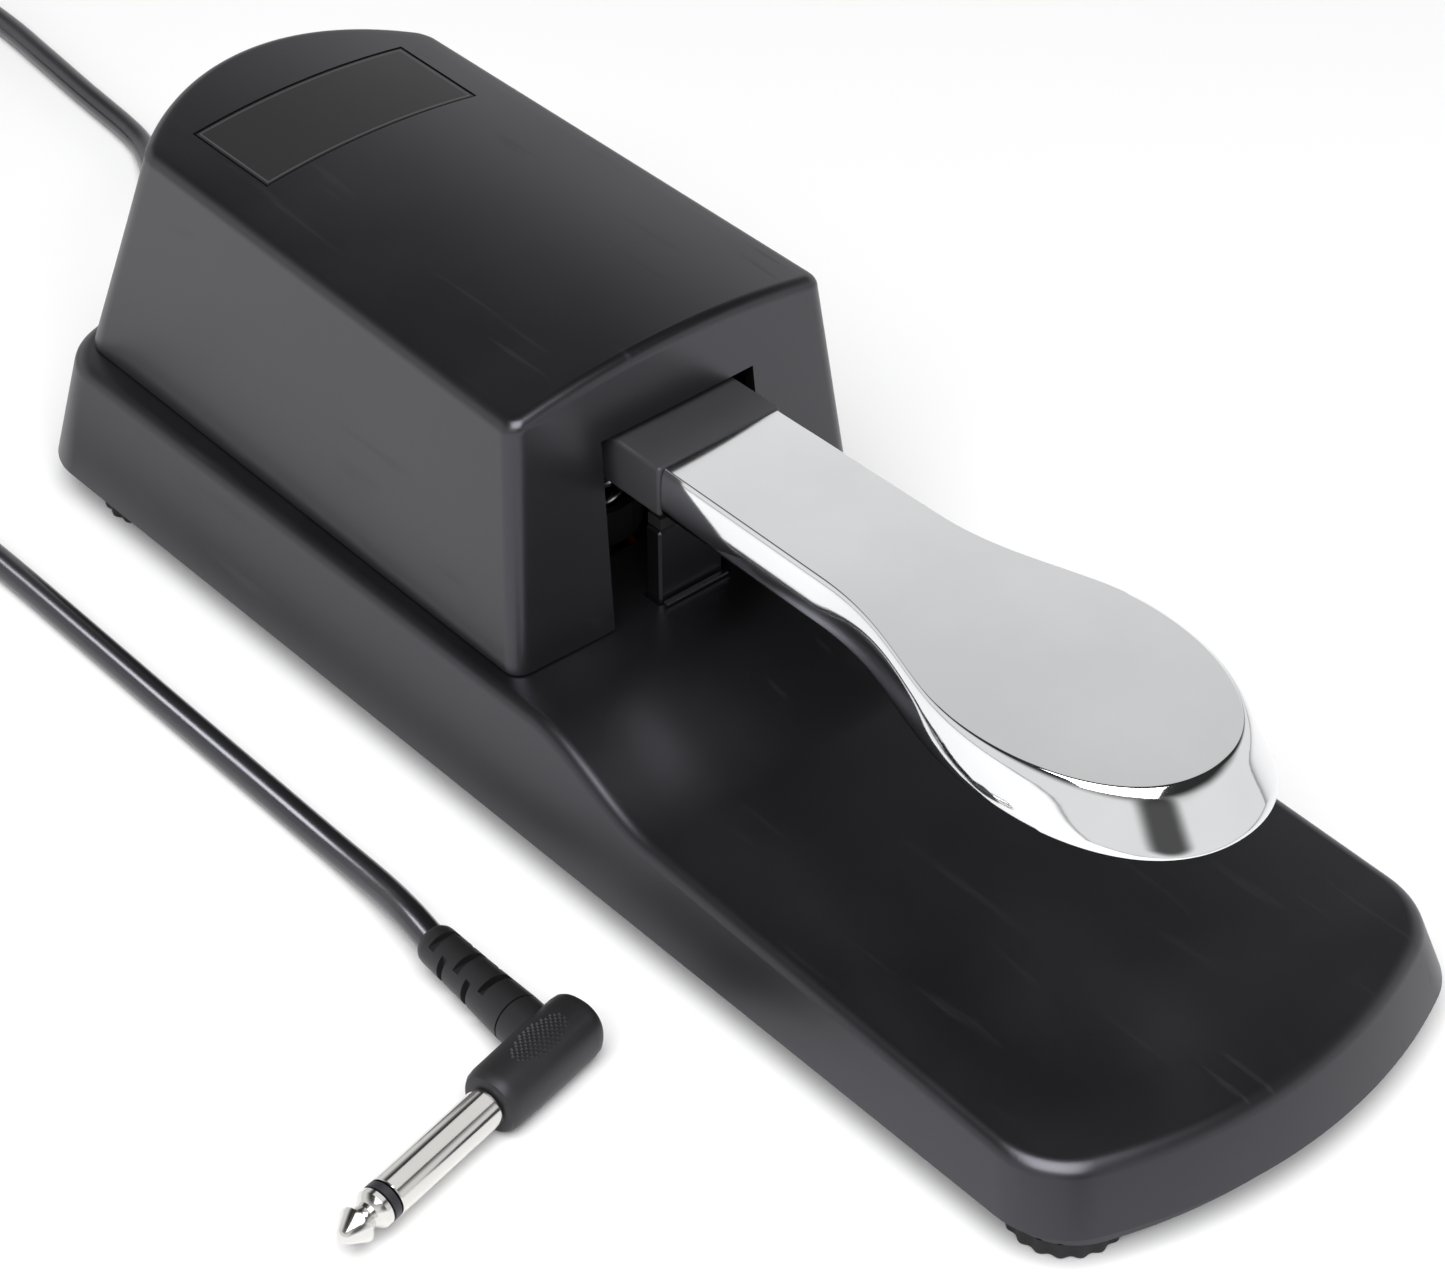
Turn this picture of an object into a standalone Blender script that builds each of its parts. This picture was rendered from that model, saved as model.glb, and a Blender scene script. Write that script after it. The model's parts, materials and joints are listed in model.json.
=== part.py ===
"""Piano-style sustain pedal: weighted base, housing, sprung lever, switch, cord and plug.

Frame: X across the pedal, Y along it with the toe at -Y and the cord at +Y, Z up.
The origin is the middle of the footprint, on the surface that the rubber feet stand on.
"""

import bpy
import bmesh
from math import atan2, cos, pi, radians, sin, sqrt
from mathutils import Matrix, Vector
from mathutils.geometry import interpolate_bezier

MM = 0.001
GAP = 0.3 * MM

# Base: a drafted tray with bowed ends, a ledge under the housing and a lower front platform.
BASE_HALF_LENGTH = 130.8 * MM
BASE_HALF_WIDTH = 40.5 * MM
BASE_DRAFT = 2.7 * MM
BASE_UNDERSIDE = 3.2 * MM
BASE_WALL = 2.4 * MM
BASE_END_RADIUS = 92.0 * MM
BASE_CORNER = 12.0 * MM
RIM = {"half_length": 132.4 * MM, "half_width": 42.9 * MM, "end_radius": 90.0 * MM, "corner": 13.0 * MM}
RIM_Z = 7.2 * MM
RIM_LEAN = 0.22
TOE_LEAN = 2.0
SKIRT_INSET = 1.0 * MM
LEDGE_Z = 27.3 * MM
PLATFORM_Z = 20.5 * MM
PLATFORM_TOE_Z = 16.7 * MM
STEP_START_Y = -8.0 * MM
STEP_END_Y = -38.0 * MM
DECK_OPENING = (20.0 * MM, 14.0 * MM, 104.0 * MM)

# Housing: walls that lean in, a rear wall bowed outwards and a crowned roof.
HOUSING_WALL = 2.2 * MM
HOUSING_FOOT = {"half_width": 35.3 * MM, "front": -1.3 * MM, "rear": 125.6 * MM, "rear_bow": 1 / (93.0 * MM)}
HOUSING_HEAD = {"half_width": 30.8 * MM, "front": 3.0 * MM, "rear": 113.4 * MM, "rear_bow": 1 / (43.2 * MM)}
HOUSING_HEAD_Z = 70.0 * MM
HOUSING_TAPER = 0.055
ROOF_SIDE_Z = 69.7 * MM
ROOF_CROWN = 3.3 * MM
ROOF_RISE = 0.019
SLOT_HALF_WIDTH = 15.1 * MM
SLOT_TOP_Z = 61.0 * MM
SHOULDER_STEPS = 3
ROOF_COLUMNS = 8
LABEL = {"half_width": 21.1 * MM, "front": 77.2 * MM, "rear": 97.6 * MM, "depth": 0.7 * MM}

# Lever: a pressed steel channel that turns on a pin at the rear of the housing.
ARM_HALF_WIDTH = 12.2 * MM
ARM_TOP_Z = 59.8 * MM
ARM_BOTTOM_Z = 50.8 * MM
ARM_SHEET = 2.0 * MM
ARM_FRONT_Y = -7.6 * MM
PIVOT_Y = 91.0 * MM
PIVOT_Z = 51.0 * MM
SHAFT_RADIUS = 2.4 * MM

# Foot plate of the pedal: a waist that flares to a round toe.
TOE_Y = -114.3 * MM
TOE_WIDEST_Y = -85.0 * MM
TOE_HALF_WIDTH = 21.1 * MM
WAIST_Y = -42.0 * MM
WAIST_HALF_WIDTH = 12.5 * MM
TOE_BLEND = (-70.0 * MM, 44.0 * MM)
FOOT_PLATE_LEVELS_MM = [
    (50.8, 1.2, 0.6), (51.6, 0.4, 0.0), (54.5, 0.0, 2.0),
    (57.0, 0.25, 3.8), (58.9, 0.9, 5.2), (59.8, 1.6, 6.5),
]

# Switch lever: a leaf hinged on the switch body, which follows the arm's underside.
LEAF_HINGE = Vector((0.0, 67.0 * MM, 55.0 * MM))
LEAF_TIP = Vector((0.0, 49.0 * MM, 57.2 * MM))

# Rubber feet and the screws through them.
FOOT_RADIUS = 9.0 * MM
FOOT_PLACES = {
    "front_left": (-30.4 * MM, -114.6 * MM),
    "front_right": (30.4 * MM, -114.6 * MM),
    "rear_left": (-30.6 * MM, 106.5 * MM),
    "rear_right": (30.6 * MM, 106.5 * MM),
}
PLATE_SCREWS = {
    "front_left": (-29.0 * MM, -86.0 * MM),
    "front_right": (29.0 * MM, -86.0 * MM),
    "rear_left": (-29.0 * MM, 60.0 * MM),
    "rear_right": (29.0 * MM, 60.0 * MM),
}
HOUSING_SCREWS = {
    "front_left": (-28.7 * MM, 8.0 * MM),
    "front_right": (28.7 * MM, 8.0 * MM),
    "rear_left": (-27.2 * MM, 108.0 * MM),
    "rear_right": (27.2 * MM, 108.0 * MM),
}
PLATE_Z = (3.5 * MM, 5.0 * MM)

# Cord, from the boot at the rear of the base to the coil, and from the coil to the plug.
CORD_RADIUS = 2.4 * MM
GLAND_FACE = Vector((12.0 * MM, 129.3 * MM, 13.0 * MM))
GLAND_LENGTH = 26.0 * MM
COIL_CENTRE = Vector((-30.0 * MM, 276.0 * MM, 0.0))
COIL_RADIUS = 25.2 * MM
COIL_WIDTH = 18.0 * MM
COIL_HEIGHT = 10.2 * MM
REAR_ROUTE_MM = [
    (12.0, 155.6, 13.0), (12.4, 163.0, 12.4), (15.0, 172.0, 9.6), (20.0, 181.0, 6.0), (25.8, 189.6, 3.4),
    (30.2, 198.4, 2.5), (32.4, 207.0, 2.5), (34.0, 226.0, 2.5), (35.6, 243.0, 2.5), (37.0, 260.7, 2.5),
    (36.4, 279.0, 2.5), (30.6, 295.5, 2.5), (19.6, 306.8, 2.5), (5.0, 312.4, 2.5), (-10.0, 313.4, 2.5),
    (-29.0, 312.9, 2.5),
]
PLUG_ROUTE_MM = [
    (-66.7, 272.0, 2.5), (-67.3, 258.0, 2.5), (-67.2, 240.0, 2.5), (-66.0, 205.0, 2.5), (-64.4, 165.0, 2.5),
    (-63.1, 130.0, 2.5), (-62.6, 104.0, 2.5), (-62.7, 80.0, 2.5), (-62.9, 57.0, 2.5), (-63.0, 34.0, 2.5),
    (-63.2, 12.0, 2.7), (-63.9, -2.0, 3.9), (-65.1, -11.0, 5.1), (-66.2, -18.2, 5.4),
]

# Right-angle phone plug, lying on the floor; its boot has taken a slight bend.
PLUG_CORNER = Vector((-67.2 * MM, -47.0 * MM, 5.4 * MM))
PLUG_HEADING = radians(192.0)
RELIEF_HEADING = radians(88.0)
NECK_REACH = 7.6 * MM
RELIEF_REACH = 28.5 * MM
SLEEVE_RADIUS = 3.175 * MM


def new_collection(name):
    collection = bpy.data.collections.new(name)
    bpy.context.scene.collection.children.link(collection)
    return collection


def clear_scene():
    for old in list(bpy.data.objects):
        bpy.data.objects.remove(old, do_unlink=True)


def material(name, colour, roughness, metallic=0.0):
    """One plain Principled material, made on first use."""
    found = bpy.data.materials.get(name)
    if found:
        return found
    made = bpy.data.materials.new(name)
    made.use_nodes = True
    shader = made.node_tree.nodes["Principled BSDF"]
    shader.inputs["Base Color"].default_value = (*colour, 1.0)
    shader.inputs["Roughness"].default_value = roughness
    shader.inputs["Metallic"].default_value = metallic
    return made


def looks():
    material("housing_abs", (0.045, 0.045, 0.05), 0.38)
    material("base_abs", (0.04, 0.04, 0.045), 0.42)
    material("label_film", (0.03, 0.03, 0.033), 0.5)
    material("black_steel", (0.03, 0.03, 0.032), 0.45, 0.4)
    material("chrome", (0.82, 0.82, 0.83), 0.08, 1.0)
    material("zinc_steel", (0.55, 0.56, 0.58), 0.3, 1.0)
    material("spring_steel", (0.5, 0.5, 0.52), 0.25, 1.0)
    material("rubber", (0.02, 0.02, 0.02), 0.8)
    material("nylon", (0.75, 0.74, 0.7), 0.5)
    material("switch_plastic", (0.02, 0.02, 0.025), 0.5)
    material("slider_plastic", (0.6, 0.6, 0.6), 0.5)
    material("cord_pvc", (0.015, 0.015, 0.016), 0.4)
    material("plug_moulding", (0.02, 0.02, 0.02), 0.6)
    material("nickel", (0.7, 0.7, 0.69), 0.2, 1.0)
    material("wire_red", (0.5, 0.02, 0.02), 0.5)


def add_object(name, mesh, look=None):
    """Puts a mesh in the scene; without a look it is a cutter."""
    obj = bpy.data.objects.new(name, mesh)
    (PARTS if look else CUTTERS).objects.link(obj)
    if look:
        obj.data.materials.append(bpy.data.materials[look])
    else:
        obj.hide_render = True
        obj.display_type = "WIRE"
    return obj


def shade_round(obj, degrees=35.0):
    obj.data.shade_smooth()
    obj.data.set_sharp_from_angle(angle=radians(degrees))


def mesh_from_bmesh(name, work):
    bmesh.ops.recalc_face_normals(work, faces=work.faces)
    mesh = bpy.data.meshes.new(name)
    work.to_mesh(mesh)
    work.free()
    return mesh


def box(name, low, high, look=None):
    work = bmesh.new()
    middle = (Vector(low) + Vector(high)) / 2
    size = Vector(high) - Vector(low)
    bmesh.ops.create_cube(work, size=1.0, matrix=Matrix.Translation(middle) @ Matrix.Diagonal((*size, 1.0)))
    return add_object(name, mesh_from_bmesh(name, work), look)


def rod(name, start, end, radius, look=None, segments=20):
    """A cylinder between two points."""
    start, end = Vector(start), Vector(end)
    turn = (end - start).to_track_quat("Z", "Y").to_matrix().to_4x4()
    place = Matrix.Translation((start + end) / 2) @ turn
    work = bmesh.new()
    bmesh.ops.create_cone(
        work, cap_ends=True, segments=segments, radius1=radius, radius2=radius,
        depth=(end - start).length, matrix=place,
    )
    obj = add_object(name, mesh_from_bmesh(name, work), look)
    if look:
        shade_round(obj)
    return obj


def loft(name, rings, look=None):
    """Skins rings of equal length, first to last, and caps both ends."""
    work = bmesh.new()
    rows = [[work.verts.new(point) for point in ring] for ring in rings]
    count = len(rows[0])
    for low, high in zip(rows, rows[1:]):
        for i in range(count):
            j = (i + 1) % count
            work.faces.new((low[i], low[j], high[j], high[i]))
    work.faces.new(list(reversed(rows[0])))
    work.faces.new(rows[-1])
    return add_object(name, mesh_from_bmesh(name, work), look)


def slab(name, outline, low_z, high_z, look=None):
    """A flat outline (x, y) raised from low_z to high_z."""
    return loft(name, [[(x, y, z) for x, y in outline] for z in (low_z, high_z)], look)


def side_slab(name, outline, low_x, high_x, look=None):
    """A side-view outline (y, z) carried across from low_x to high_x."""
    return loft(name, [[(x, y, z) for y, z in outline] for x in (low_x, high_x)], look)


def turned(name, profile, look, place=(0, 0, 0), heading=(0, 0, 1), steps=24):
    """Screw-modifier turning of an (r, z) profile that runs top to bottom on its outer side."""
    work = bmesh.new()
    points = [work.verts.new((r, 0.0, z)) for r, z in profile]
    for a, b in zip(points, points[1:]):
        work.edges.new((a, b))
    if profile[0][0] > 0 or profile[-1][0] > 0:
        work.edges.new((points[-1], points[0]))
    mesh = bpy.data.meshes.new(name)
    work.to_mesh(mesh)
    work.free()
    obj = add_object(name, mesh, look)
    screw = obj.modifiers.new("turn", "SCREW")
    screw.steps = screw.render_steps = steps
    screw.use_merge_vertices = True
    screw.merge_threshold = 0.00001
    screw.use_smooth_shade = True
    obj.location = place
    obj.rotation_mode = "QUATERNION"
    obj.rotation_quaternion = Vector(heading).to_track_quat("Z", "Y")
    return obj


def tube(name, points, radius, look, resolution=2):
    """A wire or cord along its points, with filled ends."""
    curve = bpy.data.curves.new(name, "CURVE")
    curve.dimensions = "3D"
    curve.bevel_depth = radius
    curve.bevel_resolution = resolution
    curve.use_fill_caps = True
    spline = curve.splines.new("POLY")
    spline.points.add(len(points) - 1)
    for knot, point in zip(spline.points, points):
        knot.co = (*point, 1.0)
    curve.materials.append(bpy.data.materials[look])
    obj = bpy.data.objects.new(name, curve)
    PARTS.objects.link(obj)
    return obj


def smooth_route(points, spacing):
    """Even steps along a Catmull-Rom curve through the route's own points."""
    knots = [Vector(p) for p in points]
    ends = [2 * knots[0] - knots[1], *knots, 2 * knots[-1] - knots[-2]]
    fine = []
    for a, b, c, d in zip(ends, ends[1:], ends[2:], ends[3:]):
        fine += interpolate_bezier(b, b + (c - a) / 6, c - (d - b) / 6, c, 25)[:-1]
    fine.append(knots[-1])
    total = sum((b - a).length for a, b in zip(fine, fine[1:]))
    count = max(2, round(total / spacing))
    walked, wanted, even = 0.0, total / count, [fine[0]]
    for a, b in zip(fine, fine[1:]):
        step = (b - a).length
        while step and walked + step >= wanted * len(even) and len(even) < count:
            even.append(a.lerp(b, (wanted * len(even) - walked) / step))
        walked += step
    return even + [fine[-1]]


def boolean(obj, other, operation):
    change = obj.modifiers.new(operation.lower(), "BOOLEAN")
    change.operation = operation
    change.object = other


def cut(obj, *cutters):
    for cutter in cutters:
        boolean(obj, cutter, "DIFFERENCE")


def join(obj, *others):
    for other in others:
        boolean(obj, other, "UNION")


def soften(obj, width, segments=2, degrees=40.0):
    bevel = obj.modifiers.new("edges", "BEVEL")
    bevel.width = width
    bevel.segments = segments
    bevel.limit_method = "ANGLE"
    bevel.angle_limit = radians(degrees)
    bevel.use_clamp_overlap = False
    obj.data.shade_smooth()


def bowed_end(half_width, reach, radius, corner, corner_steps=6, end_steps=10):
    """The +Y end of an outline, right to left: corner arc, shallow bow, corner arc."""
    across = half_width - corner
    bow_centre = reach - radius
    along = bow_centre + sqrt((radius - corner) ** 2 - across ** 2)
    turn = atan2(along - bow_centre, across)
    right = [(across + corner * cos(turn * i / corner_steps), along + corner * sin(turn * i / corner_steps))
             for i in range(corner_steps + 1)]
    angles = [turn + (pi - 2 * turn) * i / end_steps for i in range(1, end_steps)]
    bow = [(radius * cos(a), bow_centre + radius * sin(a)) for a in angles]
    return right + bow + [(-x, y) for x, y in reversed(right)]


def bowed_outline(half_width, front, rear, front_radius, rear_radius, front_corner, rear_corner):
    """Closed outline, counter-clockwise, with both ends bowed outwards."""
    rear_end = bowed_end(half_width, rear, rear_radius, rear_corner)
    front_end = bowed_end(half_width, -front, front_radius, front_corner)
    return rear_end + [(-x, -y) for x, y in front_end]


def base_ring(z, inset):
    """Plan outline of the base at a height; the walls lean in as they rise."""
    lean = BASE_DRAFT * (z - BASE_UNDERSIDE) / (LEDGE_Z - BASE_UNDERSIDE) + inset
    reach = BASE_HALF_LENGTH - lean
    outline = bowed_outline(
        BASE_HALF_WIDTH - lean, -reach, reach, BASE_END_RADIUS - lean, BASE_END_RADIUS - lean,
        BASE_CORNER - inset, BASE_CORNER - inset,
    )
    return [(x, y, z) for x, y in outline]


def rim_ring(z):
    """Plan outline of the base's outside; the toe end leans in more than the other walls."""
    lean = RIM_LEAN * (z - RIM_Z)
    front = TOE_LEAN * lean - RIM["half_length"]
    outline = bowed_outline(
        RIM["half_width"] - lean, front, RIM["half_length"] - lean,
        RIM["end_radius"] - lean, RIM["end_radius"] - lean, RIM["corner"], RIM["corner"],
    )
    return [(x, y, z) for x, y in outline]


def deck_height(y):
    """Top of the base along its middle: ledge, smooth step down, sloping platform."""
    if y >= STEP_START_Y:
        return LEDGE_Z
    slope = (PLATFORM_Z - PLATFORM_TOE_Z) / (BASE_HALF_LENGTH + STEP_END_Y)
    if y <= STEP_END_Y:
        return PLATFORM_Z - slope * (STEP_END_Y - y)
    t = (STEP_START_Y - y) / (STEP_START_Y - STEP_END_Y)
    return LEDGE_Z + (PLATFORM_Z - LEDGE_Z) * (3 * t * t - 2 * t ** 3)


def above_deck(name, drop):
    """Everything above the deck line, lowered by drop, as a cutter."""
    far = BASE_HALF_LENGTH + 20 * MM
    steps = 8
    middle = [STEP_END_Y + (STEP_START_Y - STEP_END_Y) * i / steps for i in range(steps + 1)]
    line = [(y, deck_height(y) - drop) for y in (-far, *middle, far)]
    outline = line + [(far, 60 * MM), (-far, 60 * MM)]
    return side_slab(name, outline, -60 * MM, 60 * MM)


def below_deck(name, rings, drop, look=None):
    obj = loft(name, rings, look)
    cut(obj, above_deck(name + "_sky", drop))
    return obj


def screw_hole(name, x, y, low_z, high_z, radius=1.8 * MM):
    return rod(name, (x, y, low_z), (x, y, high_z), radius, segments=14)


def make_base():
    above = LEDGE_Z + 6 * MM
    base = below_deck("base_shell", [rim_ring(-4 * MM), rim_ring(above)], 0.0, "base_abs")
    soften(base, 2.0 * MM)
    cut(base, box("base_rim_trim", (-60 * MM, -160 * MM, -20 * MM), (60 * MM, 160 * MM, RIM_Z)))
    skirt = [base_ring(BASE_UNDERSIDE, SKIRT_INSET), base_ring(12 * MM, SKIRT_INSET)]
    join(base, loft("base_skirt", skirt))
    hollow = [base_ring(-6 * MM, BASE_WALL), base_ring(above, BASE_WALL)]
    cut(base, below_deck("base_hollow", hollow, BASE_WALL))
    half, front, rear = DECK_OPENING
    cut(base, box("deck_window", (-half, front, 10 * MM), (half, rear, 40 * MM)))
    cut(base, box("stop_window", (-6.9 * MM, -1.0 * MM, 10 * MM), (6.9 * MM, 3.2 * MM, 40 * MM)))
    for place, (x, y) in PLATE_SCREWS.items():
        top = deck_height(y) - BASE_WALL / 2
        join(base, rod("plate_boss_" + place, (x, y, PLATE_Z[1] + GAP), (x, y, top), 3.8 * MM, segments=16))
        cut(base, screw_hole("plate_pilot_" + place, x, y, 0.0, 14 * MM))
    for place, (x, y) in HOUSING_SCREWS.items():
        cut(base, screw_hole("deck_pass_" + place, x, y, 15 * MM, 40 * MM))
    for name, start, radius in (("gland_bore", -12 * MM, 3.7 * MM), ("gland_seat", -0.9 * MM, 5.8 * MM)):
        outside = GLAND_FACE + Vector((0, 8 * MM, 0))
        cut(base, rod(name, GLAND_FACE + Vector((0, start, 0)), outside, radius))


def make_bottom_plate():
    outline = [(x, y) for x, y, _ in base_ring(BASE_UNDERSIDE, BASE_WALL + 2 * GAP)]
    plate = slab("bottom_plate", outline, *PLATE_Z, "zinc_steel")
    for place, (x, y) in {**{"p_" + k: v for k, v in PLATE_SCREWS.items()},
                          **{"f_" + k: v for k, v in FOOT_PLACES.items()}}.items():
        cut(plate, screw_hole("plate_hole_" + place, x, y, 0.0, 10 * MM))
    cut(plate, box("polarity_window", (-2.4 * MM, -54 * MM, 0), (2.4 * MM, -46 * MM, 10 * MM)))


def pan_screw(name, head_z, tip_z, head_radius, x, y, shank=1.4 * MM, head_height=1.3 * MM):
    """A pan-head screw driven upwards: head at the bottom."""
    profile = [
        (0.0, tip_z), (shank, tip_z), (shank, head_z + head_height), (head_radius, head_z + head_height),
        (head_radius, head_z + 0.4 * MM), (head_radius * 0.7, head_z), (0.0, head_z),
    ]
    turned(name, profile, "zinc_steel", (x, y, 0), steps=14)


def scalloped(radius, dip, count, steps):
    """A circle with a shallow wave round its rim."""
    points = []
    for i in range(steps):
        angle = 2 * pi * i / steps
        reach = radius - dip * (1 - cos(count * angle)) / 2
        points.append((reach * cos(angle), reach * sin(angle)))
    return points


def make_feet():
    for place, (x, y) in FOOT_PLACES.items():
        rim = scalloped(FOOT_RADIUS, 0.5 * MM, 18, 72)
        outline = [(x + dx, y + dy) for dx, dy in rim]
        foot = slab("foot_" + place, outline, 0.0, PLATE_Z[0] - GAP, "rubber")
        cut(foot, screw_hole("foot_bore_" + place, x, y, -2 * MM, 10 * MM))
        cut(foot, screw_hole("foot_sink_" + place, x, y, -2 * MM, 2.4 * MM, 3.4 * MM))
        pan_screw("foot_screw_" + place, 0.8 * MM, 8.5 * MM, 3.0 * MM, x, y)
    for place, (x, y) in PLATE_SCREWS.items():
        pan_screw("plate_screw_" + place, 1.9 * MM, 12.5 * MM, 2.8 * MM, x, y)


def housing_ring(z, inset, level):
    """Plan outline of the housing; level runs from 0 at its foot to 1 at its head."""
    size = {key: low + (HOUSING_HEAD[key] - low) * level for key, low in HOUSING_FOOT.items()}
    front, rear = size["front"] + inset, size["rear"] - inset
    outline = bowed_outline(
        size["half_width"] - inset, front, rear, 900 * MM, 1 / size["rear_bow"] - inset,
        3.0 * MM - inset * 0.5, 6.0 * MM - inset * 0.5,
    )
    return [(x * (1 - HOUSING_TAPER * (y - front) / (rear - front)), y, z) for x, y in outline]


def roof_height(x, y):
    crown = ROOF_CROWN * (1 - (x / HOUSING_HEAD["half_width"]) ** 2)
    return ROOF_SIDE_Z + crown + ROOF_RISE * (y - HOUSING_HEAD["front"])


def housing_solid(name, inset, low_z, edge, look=None):
    """Leaning walls, a rounded shoulder and a crowned roof, all pulled in by inset."""
    foot = housing_ring(LEDGE_Z, inset, 0.0)
    head = housing_ring(HOUSING_HEAD_Z, inset, 1.0)
    count = len(foot)

    def wall(i, z):
        share = (z - LEDGE_Z) / (HOUSING_HEAD_Z - LEDGE_Z)
        return Vector(foot[i][:2]).lerp(Vector(head[i][:2]), share)

    shoulder = [wall(i, roof_height(*wall(i, HOUSING_HEAD_Z)) - inset - edge) for i in range(count)]
    rings = [[(*wall(i, low_z), low_z) for i in range(count)]]
    for step in range(SHOULDER_STEPS + 1):
        angle = pi / 2 * step / SHOULDER_STEPS
        ring = []
        for i, point in enumerate(shoulder):
            along = shoulder[(i + 1) % count] - shoulder[i - 1]
            p = point + Vector((-along.y, along.x)).normalized() * edge * (1 - cos(angle))
            ring.append((*p, roof_height(*p) - inset - edge * (1 - sin(angle))))
        rings.append(ring)
    return crowned(name, rings, inset, look)


def crowned(name, rings, drop, look):
    """Skins the rings and closes the last one with rows that follow the roof's crown."""
    work = bmesh.new()
    rows = [[work.verts.new(point) for point in ring] for ring in rings]
    count = len(rows[0])
    for low, high in zip(rows, rows[1:]):
        for i in range(count):
            j = (i + 1) % count
            work.faces.new((low[i], low[j], high[j], high[i]))
    work.faces.new(list(reversed(rows[0])))
    rim = rows[-1]
    rear_middle, front_middle = count // 4, count // 4 + count // 2
    right = [rim[i % count] for i in range(rear_middle, front_middle - count - 1, -1)]
    left = [rim[i] for i in range(rear_middle, front_middle + 1)]
    strips = []
    for r, l in zip(right[1:-1], left[1:-1]):
        middle = []
        for k in range(1, ROOF_COLUMNS):
            p = r.co.lerp(l.co, k / ROOF_COLUMNS)
            middle.append(work.verts.new((p.x, p.y, roof_height(p.x, p.y) - drop)))
        strips.append([r, *middle, l])
    for rear, front in zip(strips, strips[1:]):
        for k in range(ROOF_COLUMNS):
            work.faces.new((rear[k], rear[k + 1], front[k + 1], front[k]))
    for tip, strip in ((right[0], strips[0]), (right[-1], strips[-1])):
        for k in range(ROOF_COLUMNS):
            work.faces.new((tip, strip[k], strip[k + 1]))
    return add_object(name, mesh_from_bmesh(name, work), look)


def make_housing():
    foot_z = LEDGE_Z + GAP
    housing = housing_solid("top_housing", 0.0, foot_z, 2.0 * MM, "housing_abs")
    cut(housing, housing_solid("housing_hollow", HOUSING_WALL, 20 * MM, 0.8 * MM))
    slot = [
        (-SLOT_HALF_WIDTH - 1.2 * MM, 20 * MM), (SLOT_HALF_WIDTH + 1.2 * MM, 20 * MM),
        (SLOT_HALF_WIDTH, SLOT_TOP_Z), (-SLOT_HALF_WIDTH, SLOT_TOP_Z),
    ]
    rings = [[(x, y, z) for x, z in slot] for y in (-20 * MM, 9 * MM)]
    cut(housing, loft("pedal_slot", rings))
    for place, (x, y) in HOUSING_SCREWS.items():
        join(housing, rod("housing_boss_" + place, (x, y, foot_z), (x, y, 44 * MM), 4.4 * MM, segments=16))
        cut(housing, screw_hole("housing_pilot_" + place, x, y, 20 * MM, 40 * MM))
        pan_screw("housing_screw_" + place, 23.2 * MM, 37 * MM, 2.8 * MM, x, y)
    join(housing, rod("stop_boss", (0, 36 * MM, 62.5 * MM), (0, 36 * MM, 71.6 * MM), 5 * MM, segments=20))
    cut(housing, label_slab("label_recess", 0.0, 5 * MM, -LABEL["depth"]))
    rod("upper_stop_pad", (0, 36 * MM, 60.1 * MM), (0, 36 * MM, 62.2 * MM), 4.6 * MM, "rubber")


def label_slab(name, inset, high, low, look=None):
    """A sheet that follows the crowned roof, between two heights above it."""
    half = LABEL["half_width"] - inset
    rings = []
    for y in (LABEL["front"] + inset, LABEL["rear"] - inset):
        xs = [half * i / 5 for i in range(-5, 6)]
        under = [(x, y, roof_height(x, y) + low) for x in xs]
        over = [(x, y, roof_height(x, y) + high) for x in reversed(xs)]
        rings.append(under + over)
    return loft(name, rings, look)


def make_lever():
    """Channel with a solid nose, ears for the bushes, and a tongue inside the foot plate."""
    ear = 7.0 * MM
    ear_arc = [(PIVOT_Y + ear * cos(a), PIVOT_Z + ear * sin(a)) for a in
               [pi + pi * i / 12 for i in range(13)]]
    outline = [(ARM_FRONT_Y, ARM_BOTTOM_Z), *ear_arc, (PIVOT_Y + ear, ARM_TOP_Z), (ARM_FRONT_Y, ARM_TOP_Z)]
    arm = side_slab("lever_arm", outline, -ARM_HALF_WIDTH, ARM_HALF_WIDTH, "black_steel")
    arm.location = (0, PIVOT_Y, PIVOT_Z)
    arm.data.transform(Matrix.Translation((0, -PIVOT_Y, -PIVOT_Z)))
    inner = ARM_HALF_WIDTH - ARM_SHEET
    cut(arm, box("channel_hollow", (-inner, 7 * MM, 30 * MM), (inner, 120 * MM, ARM_TOP_Z - ARM_SHEET)))
    cut(arm, rod("ear_bore", (-30 * MM, PIVOT_Y, PIVOT_Z), (30 * MM, PIVOT_Y, PIVOT_Z), 4.2 * MM))
    tongue = box("tongue", (-6.5 * MM, -70 * MM, 53.6 * MM), (6.5 * MM, 0, 56.6 * MM))
    join(arm, tongue)
    for y in (-24 * MM, -58 * MM):
        cut(arm, screw_hole("tongue_hole_" + str(round(-y / MM)), 0, y, 40 * MM, 70 * MM))


def foot_plate_half(steps=8):
    """Right-hand edge of the foot plate from its heel to the toe, as (x, y)."""
    heel = Vector((ARM_HALF_WIDTH, ARM_FRONT_Y - GAP))
    waist = Vector((WAIST_HALF_WIDTH, WAIST_Y))
    widest = Vector((TOE_HALF_WIDTH, TOE_WIDEST_Y))
    toe = Vector((0.0, TOE_Y))
    down = Vector((0.0, -1.0))
    flare = interpolate_bezier(waist, waist + 17 * MM * down, widest - 18 * MM * down, widest, steps + 1)
    nose_handle = toe + Vector((14.0 * MM, 0.0))
    nose = interpolate_bezier(widest, widest + 15.5 * MM * down, nose_handle, toe, steps + 3)
    return [heel, *flare, *nose[1:]]


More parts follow.
